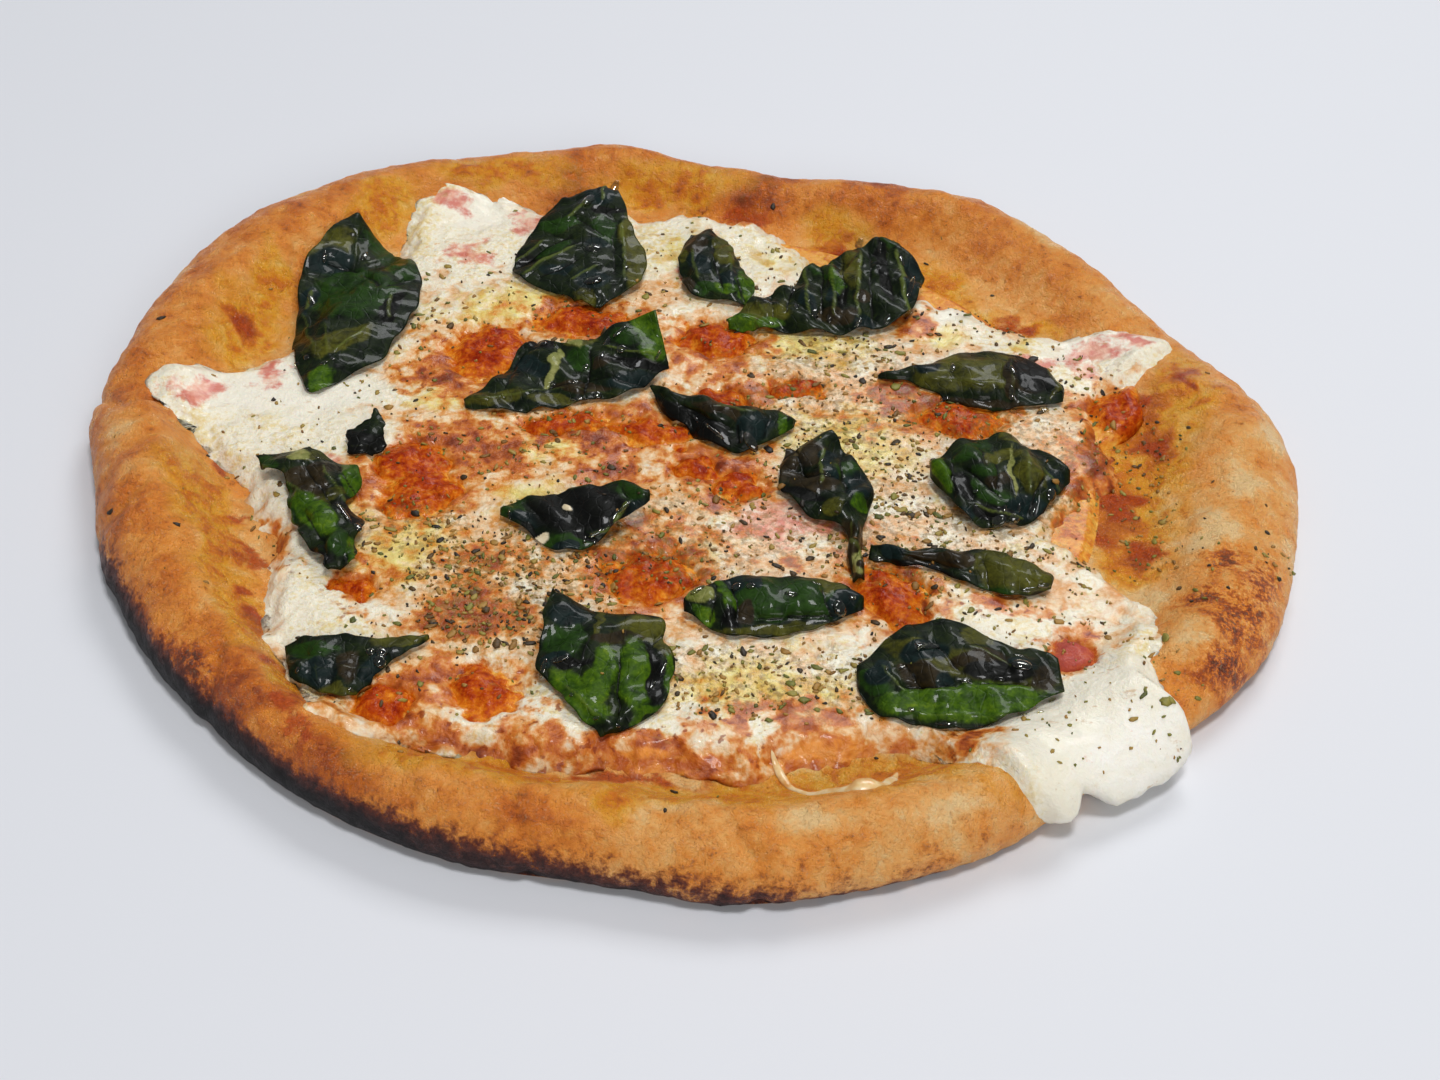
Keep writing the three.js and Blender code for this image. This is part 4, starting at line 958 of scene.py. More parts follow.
# colour, middle, size along and across, turn, and lift of each stained, swollen or painted place;
# the blue-grey places are a painted sheen of the window in the oil film, and the black places are
# partly leaf that oil has soaked and partly painted shade in gaps and hollows, mostly where their
# lift is negative
LEAF_PLACES = {
    "basil_01": [
        ("olive", -105, 81, 20, 11, 70, 0), ("painted_sheen", -104, 73, 12, 14, 0, 0.4),
        ("green", -88, 78, 28, 8, 125, 0), ("green", -95, 58, 24, 22, 0, 0.7),
        ("olive", -95, 36, 20, 8, 40, 0), ("bright", -98, 19, 5, 13, 0, 0.3),
        ("black", -84, 52, 5, 16, 170, -0.4), ("painted_sheen", -107, 54, 4, 14, 0, 0),
    ],
    "basil_02": [
        ("black", -28, 107, 10, 4, 0, -0.7), ("painted_sheen", -31, 115, 9, 12, 0, 0.3),
        ("olive", -19, 82, 7, 44, 8, 0.4), ("green", -41, 98, 14, 7, 30, 0.8),
        ("green", -28, 96, 6, 16, 10, 0.8), ("painted_sheen", -30, 88, 8, 6, 0, -0.4),
        ("painted_sheen", -30, 70, 10, 9, 0, -0.6), ("black", -50, 79, 6, 10, 60, -0.5),
        ("olive", -31, 61, 7, 10, 0, 0.2), ("green", -42, 84, 12, 5, 50, 0.6),
        ("painted_sheen", -40, 75, 8, 5, 20, 0),
    ],
    "basil_03": [
        ("painted_sheen", 0, 81, 6, 11, 20, 0.3), ("painted_sheen", 8, 74, 7, 7, 0, 0), ("olive", 6, 88, 5, 16, 20, 0.4),
        ("brown", -2, 90, 6, 10, 0, 0), ("green", 2, 68, 8, 6, 0, 0.4), ("bright", 8, 69, 6, 5, 0, 0),
        ("bright", 14, 68, 6, 20, 8, 0.5), ("brown", -4, 70, 4, 8, 0, 0), ("olive", -5, 84, 4, 8, 0, 0),
    ],
    "basil_04": [
        ("bright", 11, 52, 10, 9, 30, 0.3), ("olive", 17, 57, 18, 12, 30, 0),
        ("bright", 20, 53, 8, 5, 0, 0), ("olive", 42, 80, 6, 20, 5, 0.9),
        ("bright", 38, 74, 3, 12, 10, 0.5), ("green", 34, 82, 5, 14, 5, 0.6),
        ("black", 52, 82, 4, 34, 3, -1.4), ("green", 54, 99, 4, 12, 10, 0.9),
        ("painted_sheen", 59, 76, 4, 24, 175, 0.5), ("painted_sheen", 38, 68, 5, 6, 0, 0.2), ("brown", 46, 67, 4, 6, 0, 0.3),
        ("painted_sheen", 30, 64, 4, 10, 10, 0.4), ("brown", 38, 58, 12, 8, 0, 0), ("painted_sheen", 46, 53, 6, 10, 0, 0.4),
        ("black", 40, 66, 3, 10, 0, -0.8),
    ],
    "basil_05": [
        ("bright", -14, 50, 9, 22, 15, 0.6), ("bright", -12, 40, 7, 12, 20, 0.5),
        ("green", -19, 44, 8, 8, 0, 0.4), ("black", -15, 32, 18, 6, 175, -1.8),
        ("pale", -35, 43, 2.2, 13, 35, 0.7), ("olive", -32, 41, 8, 6, 0, 0.3),
        ("black", -41, 39, 6, 7, 0, 0.7), ("pale", -37, 31, 2.4, 12, 0, 0.5),
        ("pale", -38, 23, 2.4, 9, 170, 0.5), ("painted_sheen", -43, 28, 9, 9, 0, 0.5),
        ("green", -31, 33, 8, 11, 0, 0.4), ("olive", -51, 14, 15, 6, 15, 0),
        ("painted_sheen", -16, 24, 15, 8, 5, 0.5), ("brown", -29, 20, 14, 5, 0, 0.3), ("brown", -25, 31, 4, 6, 0, 0),
        ("olive", -36, 14, 12, 4, 0, 0),
    ],
    "basil_06": [
        ("olive", 67, 33, 18, 15, 0, 0.3), ("olive", 78, 34, 17, 15, 0, 1.1),
        ("black", 90, 35, 11, 18, 20, -0.2), ("olive", 96, 28, 2, 10, 150, 0.4),
        ("brown", 84, 31, 2.6, 18, 0, 0.5), ("brown", 75, 21, 24, 4, 0, 0), ("brown", 89, 29, 9, 5, 0, 0.2),
        ("painted_sheen", 62, 36, 7, 6, 0, 0),
    ],
    "basil_07": [
        ("black", 1, 7, 27, 9, 140, 1.6), ("brown", 8, 13, 15, 5, 150, 0.2), ("painted_sheen", 16, 6, 9, 12, 0, 0.3),
        ("bright", 23, 8, 3, 10, 5, 0.8), ("green", 26, 6, 4, 10, 0, 0), ("brown", 5, -3, 14, 3, 145, 0),
        ("painted_sheen", -7, 13, 10, 2.6, 125, 0.6),
    ],
    "basil_08": [
        ("bright", 64, -9, 4, 14, 12, 1.0), ("green", 72, 0, 11, 6, 35, 0.9),
        ("olive", 84, 6, 8, 4, 0, 0.5), ("pale", 82, -8, 1.3, 20, 177, 0.6),
        ("green", 76, -17, 14, 5, 145, 0.9), ("green", 75, -7, 8, 6, 40, 0.5),
        ("black", 69, -15, 5, 12, 25, -1.2), ("painted_sheen", 67, -26, 8, 8, 0, 0.4),
        ("painted_sheen", 84, -22, 12, 10, 30, 0.3), ("brown", 78, -11, 5, 8, 130, 0.4),
        ("painted_sheen", 92, -10, 5, 9, 160, 0.4), ("olive", 86, -8, 6, 14, 0, 0.4),
        ("black", 75, -24, 10, 6, 0, -0.8), ("olive", 80, -1, 12, 4, 20, 0.2),
    ],
    "basil_09": [
        ("brown", 29, -4, 12, 10, 20, 0.6), ("painted_sheen", 35, -6, 4, 7, 0, 0.6),
        ("painted_sheen", 36, -12, 4, 6, 10, 0.5), ("brown", 32, -15, 12, 8, 0, 0.5),
        ("painted_sheen", 43, -16, 6, 11, 15, 0.5), ("bright", 43, -23, 3, 8, 170, 0.6),
        ("olive", 37, -25, 5, 7, 150, 0.7), ("black", 29, -20, 14, 4, 155, -0.9),
        ("brown", 41, -40, 5, 22, 5, 0.4), ("pale", 42, -45, 1.3, 9, 5, 0.3),
        ("brown", 25, -10, 6, 10, 0, 0), ("green", 40, -9, 5, 6, 0, 0.4),
    ],
    "basil_10": [
        ("olive", -90, -12, 15, 5, 25, 0.5), ("pale", -98, -14, 5, 4, 0, 0.3),
        ("green", -106, -18, 8, 7, 0, 0.4), ("brown", -93, -24, 12, 7, 130, 0.7),
        ("bright", -83, -23, 5, 15, 15, 0.7), ("green", -97, -32, 5, 18, 25, 0.5),
        ("bright", -90, -36, 7, 17, 30, 0.9), ("green", -84, -44, 5, 14, 25, 0.7),
        ("black", -82, -35, 3, 13, 45, 0.8), ("black", -87, -52, 9, 6, 0, -1.4),
        ("black", -95, -42, 3, 20, 25, -0.8), ("bright", -79, -50, 2.5, 12, 15, 0.5),
        ("olive", -88, -28, 9, 5, 20, 0.5), ("brown", -94, -20, 18, 5, 20, 0.4),
    ],
    "basil_11": [
        ("black", -26, -30, 24, 17, 10, 0.5), ("green", -14, -23, 5, 15, 20, 0.8),
        ("painted_sheen", -13, -30, 5, 10, 160, 0.2), ("green", -43, -30, 8, 9, 0, 0.7),
        ("painted_sheen", -39, -34, 11, 4, 165, 0.4), ("pale", -31, -26, 1.4, 6, 165, 0.4),
        ("green", -27, -43, 17, 7, 170, 0.4), ("black", -24, -40, 9, 3, 160, -0.8),
        ("black", -37, -38, 8, 3, 150, -0.7), ("painted_sheen", -28, -44, 6, 4, 0, 0),
        ("cream", -29, -29.5, 2.6, 2.2, 0, 3), ("cream", -33.5, -40.5, 3, 4, 0, 3),
    ],
    "basil_12": [
        ("painted_sheen", 50, -39, 6, 9, 20, 1.0), ("brown", 60, -42, 14, 4, 0, 0.4),
        ("black", 58, -46, 16, 4, 160, 0.7), ("olive", 79, -46, 22, 13, 155, 1.2),
        ("green", 75, -52, 9, 6, 0, 0.8), ("brown", 66, -43, 8, 6, 30, 0.5),
        ("brown", 86, -54, 6, 3, 30, 0.2), ("black", 66, -51, 8, 3, 140, -0.6),
    ],
    "basil_13": [
        ("green", 26, -59, 30, 13, 0, 1.4), ("bright", 10.5, -60, 3, 14, 15, 1.3),
        ("pale", 4, -58, 6, 6, 0, 0.7), ("bright", 6, -66, 4, 9, 20, 0.4),
        ("black", 12, -66, 4, 9, 20, -1.2), ("painted_sheen", 13, -55, 5, 5, 0, 0.9),
        ("painted_sheen", 17.5, -55, 4, 4, 0, 0.8), ("painted_sheen", 38, -60, 6, 10, 160, 0.9),
        ("olive", 25, -69.5, 30, 4, 8, 0.4), ("green", 22, -64, 12, 6, 10, 0.4),
        ("brown", 15, -64, 4, 8, 0, 0.2), ("olive", 35, -54, 6, 5, 0, 0.3),
    ],
    "basil_14": [
        ("painted_sheen", -80, -90, 8, 10, 0, 0.4), ("brown", -74, -88, 5, 10, 0, 0.3),
        ("painted_sheen", -69, -90, 5, 7, 0, 0.5), ("olive", -76, -96, 9, 4, 0, 0.1),
        ("olive", -64, -79, 12, 4, 10, 0.2), ("painted_sheen", -67, -86, 4, 6, 0, 0.5),
        ("green", -82, -83, 10, 5, 10, 0.2), ("brown", -66, -96, 6, 4, 0, 0.2),
    ],
    "basil_15": [
        ("painted_sheen", -26, -68, 9, 9, 0, 0.5), ("olive", -18.5, -69, 1.8, 11, 175, 0.7),
        ("olive", -7, -72, 15, 8, 0, 0.3), ("green", -26, -77, 9, 12, 0, 0.4),
        ("bright", -16.5, -88, 7, 20, 170, 1.5), ("bright", -9, -87, 7, 24, 8, 1.7),
        ("bright", -21, -95, 20, 8, 130, 1.0), ("bright", -1.6, -87, 1.8, 16, 5, 0.9),
        ("bright", -6, -99, 10, 2, 40, 0.8), ("black", -5, -87, 4, 20, 5, -1.6),
        ("painted_sheen", -28, -84, 8, 4, 30, 1.0), ("black", -24, -84, 10, 3, 20, -1.0),
        ("brown", -14, -75, 12, 4, 0, 0.6), ("olive", -3, -76, 4, 10, 20, 0.3),
    ],
    "basil_16": [
        ("olive", 66, -78, 42, 9, 165, 0), ("painted_sheen", 57, -75, 12, 6, 25, 0.9),
        ("black", 74, -81, 16, 6, 0, 0.3), ("painted_sheen", 79, -78, 7, 5, 0, 0.7),
        ("brown", 56, -83, 9, 10, 30, 0.5), ("painted_sheen", 61, -84, 5, 7, 0, 0.4),
        ("bright", 66, -91, 38, 12, 8, 1.7), ("bright", 52, -92, 12, 8, 20, 0.8),
        ("brown", 84, -82, 6, 9, 0, 0.2), ("green", 45, -86, 6, 10, 30, 0.5),
        ("brown", 70, -77, 14, 6, 0, 0.4), ("painted_sheen", 46, -83, 6, 8, 0, 0.3),
        ("olive", 70, -70, 8, 5, 0, 0.2),
    ],
    "basil_scrap": [("black", -84, -8, 14, 12, 0, 0), ("brown", -85, -4, 6, 3, 0, 0.2)],
}
# both ends, reach to either side, and lift of each fold: a ridge, or a valley where it is negative
LEAF_FOLDS = {
    "basil_01": [
        (-106, 73, -94, 68, 1.0, -1.0), (-94, 68, -88, 62, 1.0, -1.0), (-88, 62, -79, 67, 1.0, -0.9),
        (-99, 94, -97, 70, 0.7, 0.5), (-110, 66, -101, 60, 0.8, 0.5), (-97, 70, -85, 80, 0.8, 0.5),
        (-102, 46, -96, 26, 0.8, 0.6), (-88, 44, -97, 30, 1.0, 0.7), (-108, 50, -101, 30, 1.0, 0.6),
        (-107, 60, -106, 48, 1.2, 0.8), (-85, 60, -84, 46, 1.2, 0.7),
    ],
    "basil_02": [
        (-57, 70, -44, 90, 0.9, 0.8), (-55, 70, -36, 96, 1.0, -0.8), (-52, 69, -34, 88, 1.0, 0.9),
        (-46, 69, -33, 82, 1.0, -0.9), (-44, 93, -36, 90, 0.9, -0.9), (-38, 104, -28, 92, 1.0, -0.8),
        (-30, 122, -30, 110, 1.0, 0.8), (-37, 68, -28, 78, 1.0, 0.8), (-24, 104, -21, 66, 1.0, 0.7),
        (-26, 96, -24, 70, 0.9, -0.7), (-34, 112, -40, 100, 1.1, 0.8),
    ],
    "basil_03": [
        (2, 94, 7, 66, 1.0, -0.9), (-3, 90, 0, 70, 1.0, 0.7), (7, 92, 9, 74, 0.9, 0.6),
        (10, 78, 13, 60, 1.0, -0.8), (-6, 78, 2, 66, 0.9, -0.6),
    ],
    "basil_04": [
        (27, 82, 24, 56, 0.9, -1.0), (30, 84, 30, 54, 0.9, 0.9), (34, 88, 34, 54, 0.9, -1.1),
        (37, 88, 38, 54, 0.8, 0.9), (40, 90, 40, 58, 0.8, -1.0), (45, 94, 44, 52, 1.0, 0.9),
        (48, 94, 48, 50, 0.9, -1.1), (56, 96, 58, 54, 1.2, 1.0), (15, 64, 22, 50, 1.0, 0.6),
        (21, 76, 20, 52, 0.8, -0.7),
    ],
    "basil_05": [
        (-38, 45, -38, 18, 0.8, 0.6), (-46, 34, -50, 16, 0.9, -0.7), (-28, 40, -28, 14, 1.0, -1.2),
        (-58, 12, -30, 20, 0.9, 0.6), (-26, 38, -9, 36, 0.9, 0.9), (-24, 26, -8, 20, 0.9, -0.9),
        (-34, 20, -10, 15, 0.8, 0.5), (-40, 18, -22, 26, 0.9, -0.8),
    ],
    "basil_06": [
        (60, 31, 84, 28, 0.8, 0.5), (85, 42, 84, 20, 0.8, 0.6), (84, 28, 92, 22, 0.9, -0.8),
        (93, 38, 97, 26, 0.8, 0.6), (64, 24, 80, 22, 1.0, -0.7),
    ],
    "basil_07": [
        (-4, 15, 12, 4, 1.0, -1.3), (12, 9, 12, -2, 1.0, -1.2), (20, 13, 19, 0, 0.8, -0.9),
        (4, 14, 18, 12, 0.9, 0.7), (-8, 4, 6, -5, 0.9, -0.9),
    ],
    "basil_08": [
        (67, -2, 66, -20, 0.9, -1.3), (68, -5, 80, -20, 0.9, -1.1), (74, 3, 76, -6, 0.9, -0.9),
        (86, 4, 86, -18, 0.8, 0.8), (90, -6, 84, -26, 1.0, -1.0), (79, -2, 77, -16, 0.9, -0.9),
        (70, -21, 84, -27, 1.0, 0.9), (89, -4, 93, -16, 0.9, 0.7),
    ],
    "basil_09": [
        (26, 0, 30, -14, 1.0, -1.1), (34, 0, 33, -18, 0.9, 0.9), (38, -2, 40, -20, 0.9, -1.1),
        (22, -10, 40, -14, 1.0, -0.9), (41, -28, 42, -48, 0.8, 0.7),
    ],
    "basil_10": [
        (-107, -17, -92, -30, 0.9, 0.8), (-104, -22, -96, -36, 0.9, -1.0), (-97, -16, -86, -32, 0.8, -1.0),
        (-92, -16, -82, -34, 0.8, 0.8), (-88, -16, -80, -30, 0.8, -0.9), (-98, -30, -88, -56, 0.9, 1.0),
        (-93, -34, -84, -52, 0.9, -0.8),
    ],
    "basil_11": [
        (-14, -26, -18, -36, 0.8, 1.2), (-18, -36, -23, -40, 0.8, 1.1), (-17, -18, -14, -26, 0.8, -0.9),
        (-40, -26, -34, -36, 0.9, -0.9), (-36, -24, -20, -20, 0.8, 0.6),
    ],
    "basil_12": [
        (52, -41, 70, -47, 0.8, -0.9), (72, -40, 74, -54, 0.8, -0.7), (77, -38, 80, -52, 0.7, 0.5),
        (84, -42, 86, -50, 0.7, 0.4), (70, -41, 88, -50, 0.8, 0.4),
    ],
    "basil_13": [
        (12, -54, 14, -68, 0.8, -1.2), (15, -67, 40, -63, 0.9, -1.1), (8, -55, 7, -70, 0.8, -0.9),
        (33, -54, 36, -66, 0.9, -0.9), (20, -53, 22, -66, 0.8, 0.3),
    ],
    "basil_14": [
        (-77, -84, -77, -96, 0.8, -0.7), (-72, -83, -72, -94, 0.8, -0.7), (-88, -85, -66, -84, 0.8, -0.5),
        (-86, -90, -66, -88, 0.8, 0.4), (-82, -78, -80, -96, 0.8, 0.4),
    ],
    "basil_15": [
        (-12.6, -78, -12, -103, 0.8, -1.3), (-20, -74, -22, -86, 0.9, -0.9),
        (-26, -90, -14, -103, 0.8, 0.8), (-3, -72, -6, -78, 0.9, -0.7), (-29, -72, -20, -74, 0.8, -0.6),
    ],
    "basil_16": [
        (50, -87, 66, -85, 0.8, -1.2), (66, -85, 82, -84, 0.8, -1.2), (46, -80, 52, -90, 0.8, 0.8),
        (52, -78, 56, -88, 0.8, -0.9), (58, -70, 66, -82, 0.8, -0.8), (66, -72, 78, -80, 0.8, 0.7),
        (60, -86, 58, -97, 0.7, -0.4), (70, -86, 70, -96, 0.7, -0.3), (50, -96, 80, -95, 0.8, 0.6),
        (75, -72, 76, -82, 0.8, -0.8),
    ],
    "basil_scrap": [(-90, -10, -79, -8, 0.8, 0.4)],
}
print("leaves:", len(LEAVES), "folds:", sum(len(folds) for folds in LEAF_FOLDS.values()))

# %% Find what lies under a leaf
ABOVE = 80  # mm, well over everything on the pizza
DOWN = Vector((0, 0, -1))


def tree_of(pieces):
    """One tree of all the faces of some pieces, which can be asked what a ray meets first."""
    corners, faces = [], []
    for piece in pieces:
        start = len(corners)
        corners.extend(vertex.co.copy() for vertex in piece.data.vertices)
        faces.extend([start + corner for corner in face.vertices] for face in piece.data.polygons)
    return BVHTree.FromPolygons(corners, faces)


def bed_heights(x, y):
    """The height in mm of the highest thing below each spot."""
    tops = np.full(len(x), FLOOR)
    for n in range(len(x)):
        hit = bed.ray_cast((Vector((x[n], y[n], ABOVE)) + MIDDLE) * MM, DOWN)[0]
        if hit:
            tops[n] = hit.z / MM
    return tops


def seen(spots):
    """Where spots look to lie on the leaves' level to a diner, in mm about the dough's middle."""
    eye = np.array(EYE)
    share = (LEAF_LEVEL - eye[2]) / (spots[:, 2] - eye[2])
    return eye[0] + (spots[:, 0] - eye[0]) * share, eye[1] + (spots[:, 1] - eye[1]) * share


bed = tree_of([dough, sauce, cheese])
print("bed at the middle:", round(float(bed_heights([0.0], [0.0])[0]), 1), "mm")


# %% Shape a leaf
def curve(values, share):
    """A smooth curve through values at equal steps, read at shares of the way along it."""
    padded = np.array([2 * values[0] - values[1], *values, 2 * values[-1] - values[-2]], float)
    place = np.clip(share, 0, 1) * (len(values) - 1)
    first = np.minimum(place.astype(int), len(values) - 2)
    t = place - first
    a, b, c, d = (padded[first + n] for n in range(4))
    return b + 0.5 * t * (c - a + t * (2 * a - 5 * b + 4 * c - d + t * (3 * (b - c) + d - a)))


def eased(grid, rounds):
    """Evens out a sheet of heights, as a limp leaf does that hangs from bump to bump."""
    for _ in range(rounds):
        inner = (grid[:-2, 1:-1] + grid[2:, 1:-1] + grid[1:-1, :-2] + grid[1:-1, 2:]) / 4
        grid[1:-1, 1:-1] = inner
    return grid


def leaf_place(name, columns, rows):
    x, y, turn, long, crown, ripple, left, right, left_up, right_up = LEAVES[name]
    c, s = math.cos(math.radians(turn)), math.sin(math.radians(turn))

    def place(across, along):
        side = 1 - across
        nicks = 0.3 * np.sin(19 * along + x) + 0.2 * np.sin(43 * along + y)
        reach = mix(nicks - curve(right, along), nicks + curve(left, along), side)
        spots = np.stack([x + long * along * c - reach * s, y + long * along * s + reach * c], axis=-1)
        under = bed_heights(*spots.T)
        hung = eased(under.reshape(rows + 1, columns + 1).copy(), 12).ravel()
        edge = mix(curve(right_up, along), curve(left_up, along), side)
        arch = crown * np.sin(np.pi * side) * np.maximum(np.sin(np.pi * along), 0) ** 0.5
        creased = 0.5 * ripple * (1 + np.sin(0.55 * long * along + 5 * side + x))
        high = np.maximum(under, hung) + LEAF_LIE + np.maximum(edge, 0) + arch + creased
        return np.column_stack([spots, high])

    return place


def along_fold(x, y, fold):
    """How near each spot is to a fold line: 1 on it, fading to 0 over the fold's reach."""
    x0, y0, x1, y1, reach, _ = fold
    run = np.hypot(x1 - x0, y1 - y0)
    share = np.clip(((x - x0) * (x1 - x0) + (y - y0) * (y1 - y0)) / run**2, 0, 1)
    away = np.hypot(x - x0 - share * (x1 - x0), y - y0 - share * (y1 - y0))
    return np.exp(-np.hypot(away, 0.2) / reach) * smooth(1.2 - np.abs(2 * share - 1) ** 3)


PLACE_LIFT, FOLD_LIFT = 0.22, 1.2  # mm of relief for a lift of 1
LEAF_COLOURS = ("green", "bright", "olive", "pale", "painted_sheen", "brown", "black", "cream")
STEP = 0.55  # mm between the vertices of a leaf


def leaf_mesh(name):
    _, _, _, long, _, _, left, right, _, _ = LEAVES[name]
    columns, rows = round((max(left) + max(right)) / STEP), round(long / STEP)
    mesh = grid_mesh(name, columns, rows, leaf_place(name, columns, rows))
    spots = coordinates(mesh)
    x, y = seen(spots)
    wander = [2.0 * grain(spots, 6, seed) + 0.8 * grain(spots, 2.2, seed + 3) for seed in (2.0, 6.0)]
    sheet = spots * (1, 1, 0.3)
    crumples = 0.5 - 2 * np.abs(grain(sheet, 9, 1.9)) - 0.8 * np.abs(grain(sheet, 4.5, 7.4))
    heights = 0.4 * crumples + 0.05 * grain(sheet, 2.4, 5.5)
    for kind in LEAF_COLOURS:
        shares = np.zeros_like(x)
        for _, px, py, wide, deep, turn, lift in (spot for spot in LEAF_PLACES[name] if spot[0] == kind):
            inside = share_of([(px, py, wide, deep, turn)], x + wander[0], y + wander[1], 0.5)
            shares = np.maximum(shares, inside)
            heights += PLACE_LIFT * lift * smooth((inside - 0.25) / 0.5)
        mark(mesh, kind, shares)
    # lines along the folds, kept for a painted highlight on each ridge and painted shade in each valley
    ridge_highlights, valley_shades = np.zeros_like(x), np.zeros_like(x)
    for fold in LEAF_FOLDS[name]:
        near = along_fold(x + 0.4 * wander[0], y + 0.4 * wander[1], fold)
        heights += FOLD_LIFT * fold[5] * near
        line = abs(fold[5]) * smooth(1.7 * near - 0.6)
        if fold[5] > 0:
            ridge_highlights = np.maximum(ridge_highlights, line)
        else:
            valley_shades = np.maximum(valley_shades, line)
    mark(mesh, "ridge_highlight", ridge_highlights)
    mark(mesh, "valley_shade", valley_shades)
    relief(mesh, heights)
    return mesh


def close_leaf(mesh):
    """Gives a leaf a second skin above its first, and a wall between them, so that it is closed."""
    bm = bmesh.new()
    bm.from_mesh(mesh)
    made = bmesh.ops.extrude_face_region(bm, geom=bm.faces, use_keep_orig=True)["geom"]
    bm.normal_update()
    upper = [vertex for vertex in made if isinstance(vertex, bmesh.types.BMVert)]
    lift = [LEAF_SKIN * vertex.normal for vertex in upper]
    for vertex, move in zip(upper, lift):
        vertex.co += move
    bmesh.ops.recalc_face_normals(bm, faces=bm.faces)
    bm.to_mesh(mesh)
    bm.free()


leaves = {}
for name in LEAVES:
    mesh = leaf_mesh(name)
    close_leaf(mesh)
    settle(mesh)
    leaves[name] = linked(name.replace("basil", "basil_leaf"), mesh)
    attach(leaves[name], "root")
    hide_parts(name)
print("leaf faces:", sum(len(leaf.data.polygons) for leaf in leaves.values()))

# %% [markdown]
# Wilted basil isn't one green. Thin folded parts stay bright, bruised parts turn olive and brown,
# and an oil film on the black-green blade mirrors the window in a cold grey, which is painted into
# the colour as a sheen. The black places are partly leaf that oil has soaked and partly painted
# shade in gaps and hollows; the ridges of the folds get a painted highlight, and their valleys
# painted shade. These marks are on the vertices; the paint blends them and adds veins that are too
# fine for the mesh.


# %% Paint the leaves
def basil_finish():
    f = Finish("wilted_basil", Specular_IOR_Level=0.1, Coat_Weight=0.16, Coat_Roughness=0.03)
    soft, fine = f.noise(5, 4, 0.6, bend=0.7), f.noise(1.1, 4, 0.62, bend=0.4)
    mottle = f.plus(f.times(soft, 0.8), fine, 0.5)
    base = f.ramp(mottle, [(0.45, "030803"), (0.62, "0d1807"), (0.78, "1b260a"), (0.9, "2f320e")])
    tones = {
        "green": [(0.45, "0a1c03"), (0.85, "24420a")],
        "olive": [(0.45, "202208"), (0.85, "565616")],
        "brown": [(0.45, "120e06"), (0.85, "322812")],
        # a painted sheen: the window mirrored in the oil film
        "painted_sheen": [(0.45, "040d0c"), (0.85, "122422")],
        "bright": [(0.4, "142404"), (0.58, "2a4604"), (0.75, "446206"), (0.95, "6e8412")],
        "pale": [(0.45, "5c6424"), (0.85, "96955a")],
        # leaf that oil has soaked, and painted shade in gaps and hollows
        "black": [(0.45, "020302"), (0.85, "0c0d08")],
        "cream": [(0.45, "c8b48c"), (0.85, "e8dcc0")],
    }
    for kind, stops in tones.items():
        share = f.step(f.plus(f.marked(kind), mottle, 0.5), 0.55, 1.05)
        base = f.blend(share, base, f.ramp(mottle, stops))
    # a painted highlight along the ridges of the folds, and painted shade in their valleys
    base = f.blend(f.step(f.marked("ridge_highlight"), 0.15, 0.9, 0.0, 0.55), base, "6e7c34")
    base = f.blend(f.step(f.marked("valley_shade"), 0.1, 0.7, 0.0, 0.9), base, "040602")
    veins = f.cells(3.2, "DISTANCE_TO_EDGE", f.stretched(1, 0.7, 1))
    swell = f.bump(f.plus(soft, f.step(veins, 0.0, 0.08), 0.3), 0.25)
    f.set(Base_Color=base, Roughness=f.step(soft, 0.3, 0.7, 0.34, 0.5), Normal=f.bump(fine, 0.08, swell))
    return f


basil_finish().wear(*leaves.values())

# %% [markdown]
# Melted mozzarella pulls out into strings. One of them sagged onto the slope of the front rim. A
# bevelled curve would give it the same girth all along, so the grid is rolled into a tube instead,
# whose girth swells towards the middle, where the string hangs lowest.

# %% Drape a string of cheese
STRING_X = [22, 26, 31, 36, 40, 45, 48, 50]
STRING_Y = [-105, -113, -118, -120.5, -121.5, -120, -115, -108]
STRING_GIRTH, STRING_DROP = 0.9, 1.3  # radius in mm, and how much is added where it hangs lowest


def string_place(across, along):
    x, y = curve(STRING_X, along), curve(STRING_Y, along)
    ahead_x, ahead_y = curve(STRING_X, along + 0.01) - x, curve(STRING_Y, along + 0.01) - y
    run = np.hypot(ahead_x, ahead_y) + 0.001
    girth = STRING_GIRTH + STRING_DROP * np.exp(-(((along - 0.62) / 0.16) ** 2)) + 0.25 * np.sin(23 * along)
    girth = girth * np.sqrt(np.clip(1 - np.abs(2 * along - 1) ** 8, 0, 1))
    aside, up = girth * np.cos(2 * np.pi * across), girth * np.sin(2 * np.pi * across)
    high = bed_heights(x, y) + 0.1 * girth + 0.6 * up
    return np.column_stack([x - aside * ahead_y / run, y + aside * ahead_x / run, high])


string_mesh = grid_mesh("cheese_string", 20, 90, string_place, weld=0.01)
settle(string_mesh)
string = linked("cheese_string", string_mesh)
pulled = Finish("cheese_string", Roughness=0.25, Coat_Weight=0.14, Coat_Roughness=0.06)
creamy = [(0.38, "ecdcb4"), (0.5, "e6c48a"), (0.62, "d89c54")]
pulled.set(Base_Color=pulled.ramp(pulled.noise(6, 3, 0.6), creamy))
pulled.wear(string)
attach(string, "root")
print("string of cheese:", len(string_mesh.polygons), "faces")

# %% [markdown]
# Oil beads on the leaves and runs along their lower margins. Each bead is a flattened ball of
# clear oil that is half sunk in the leaf, so the window shows in it as one small bright glint.

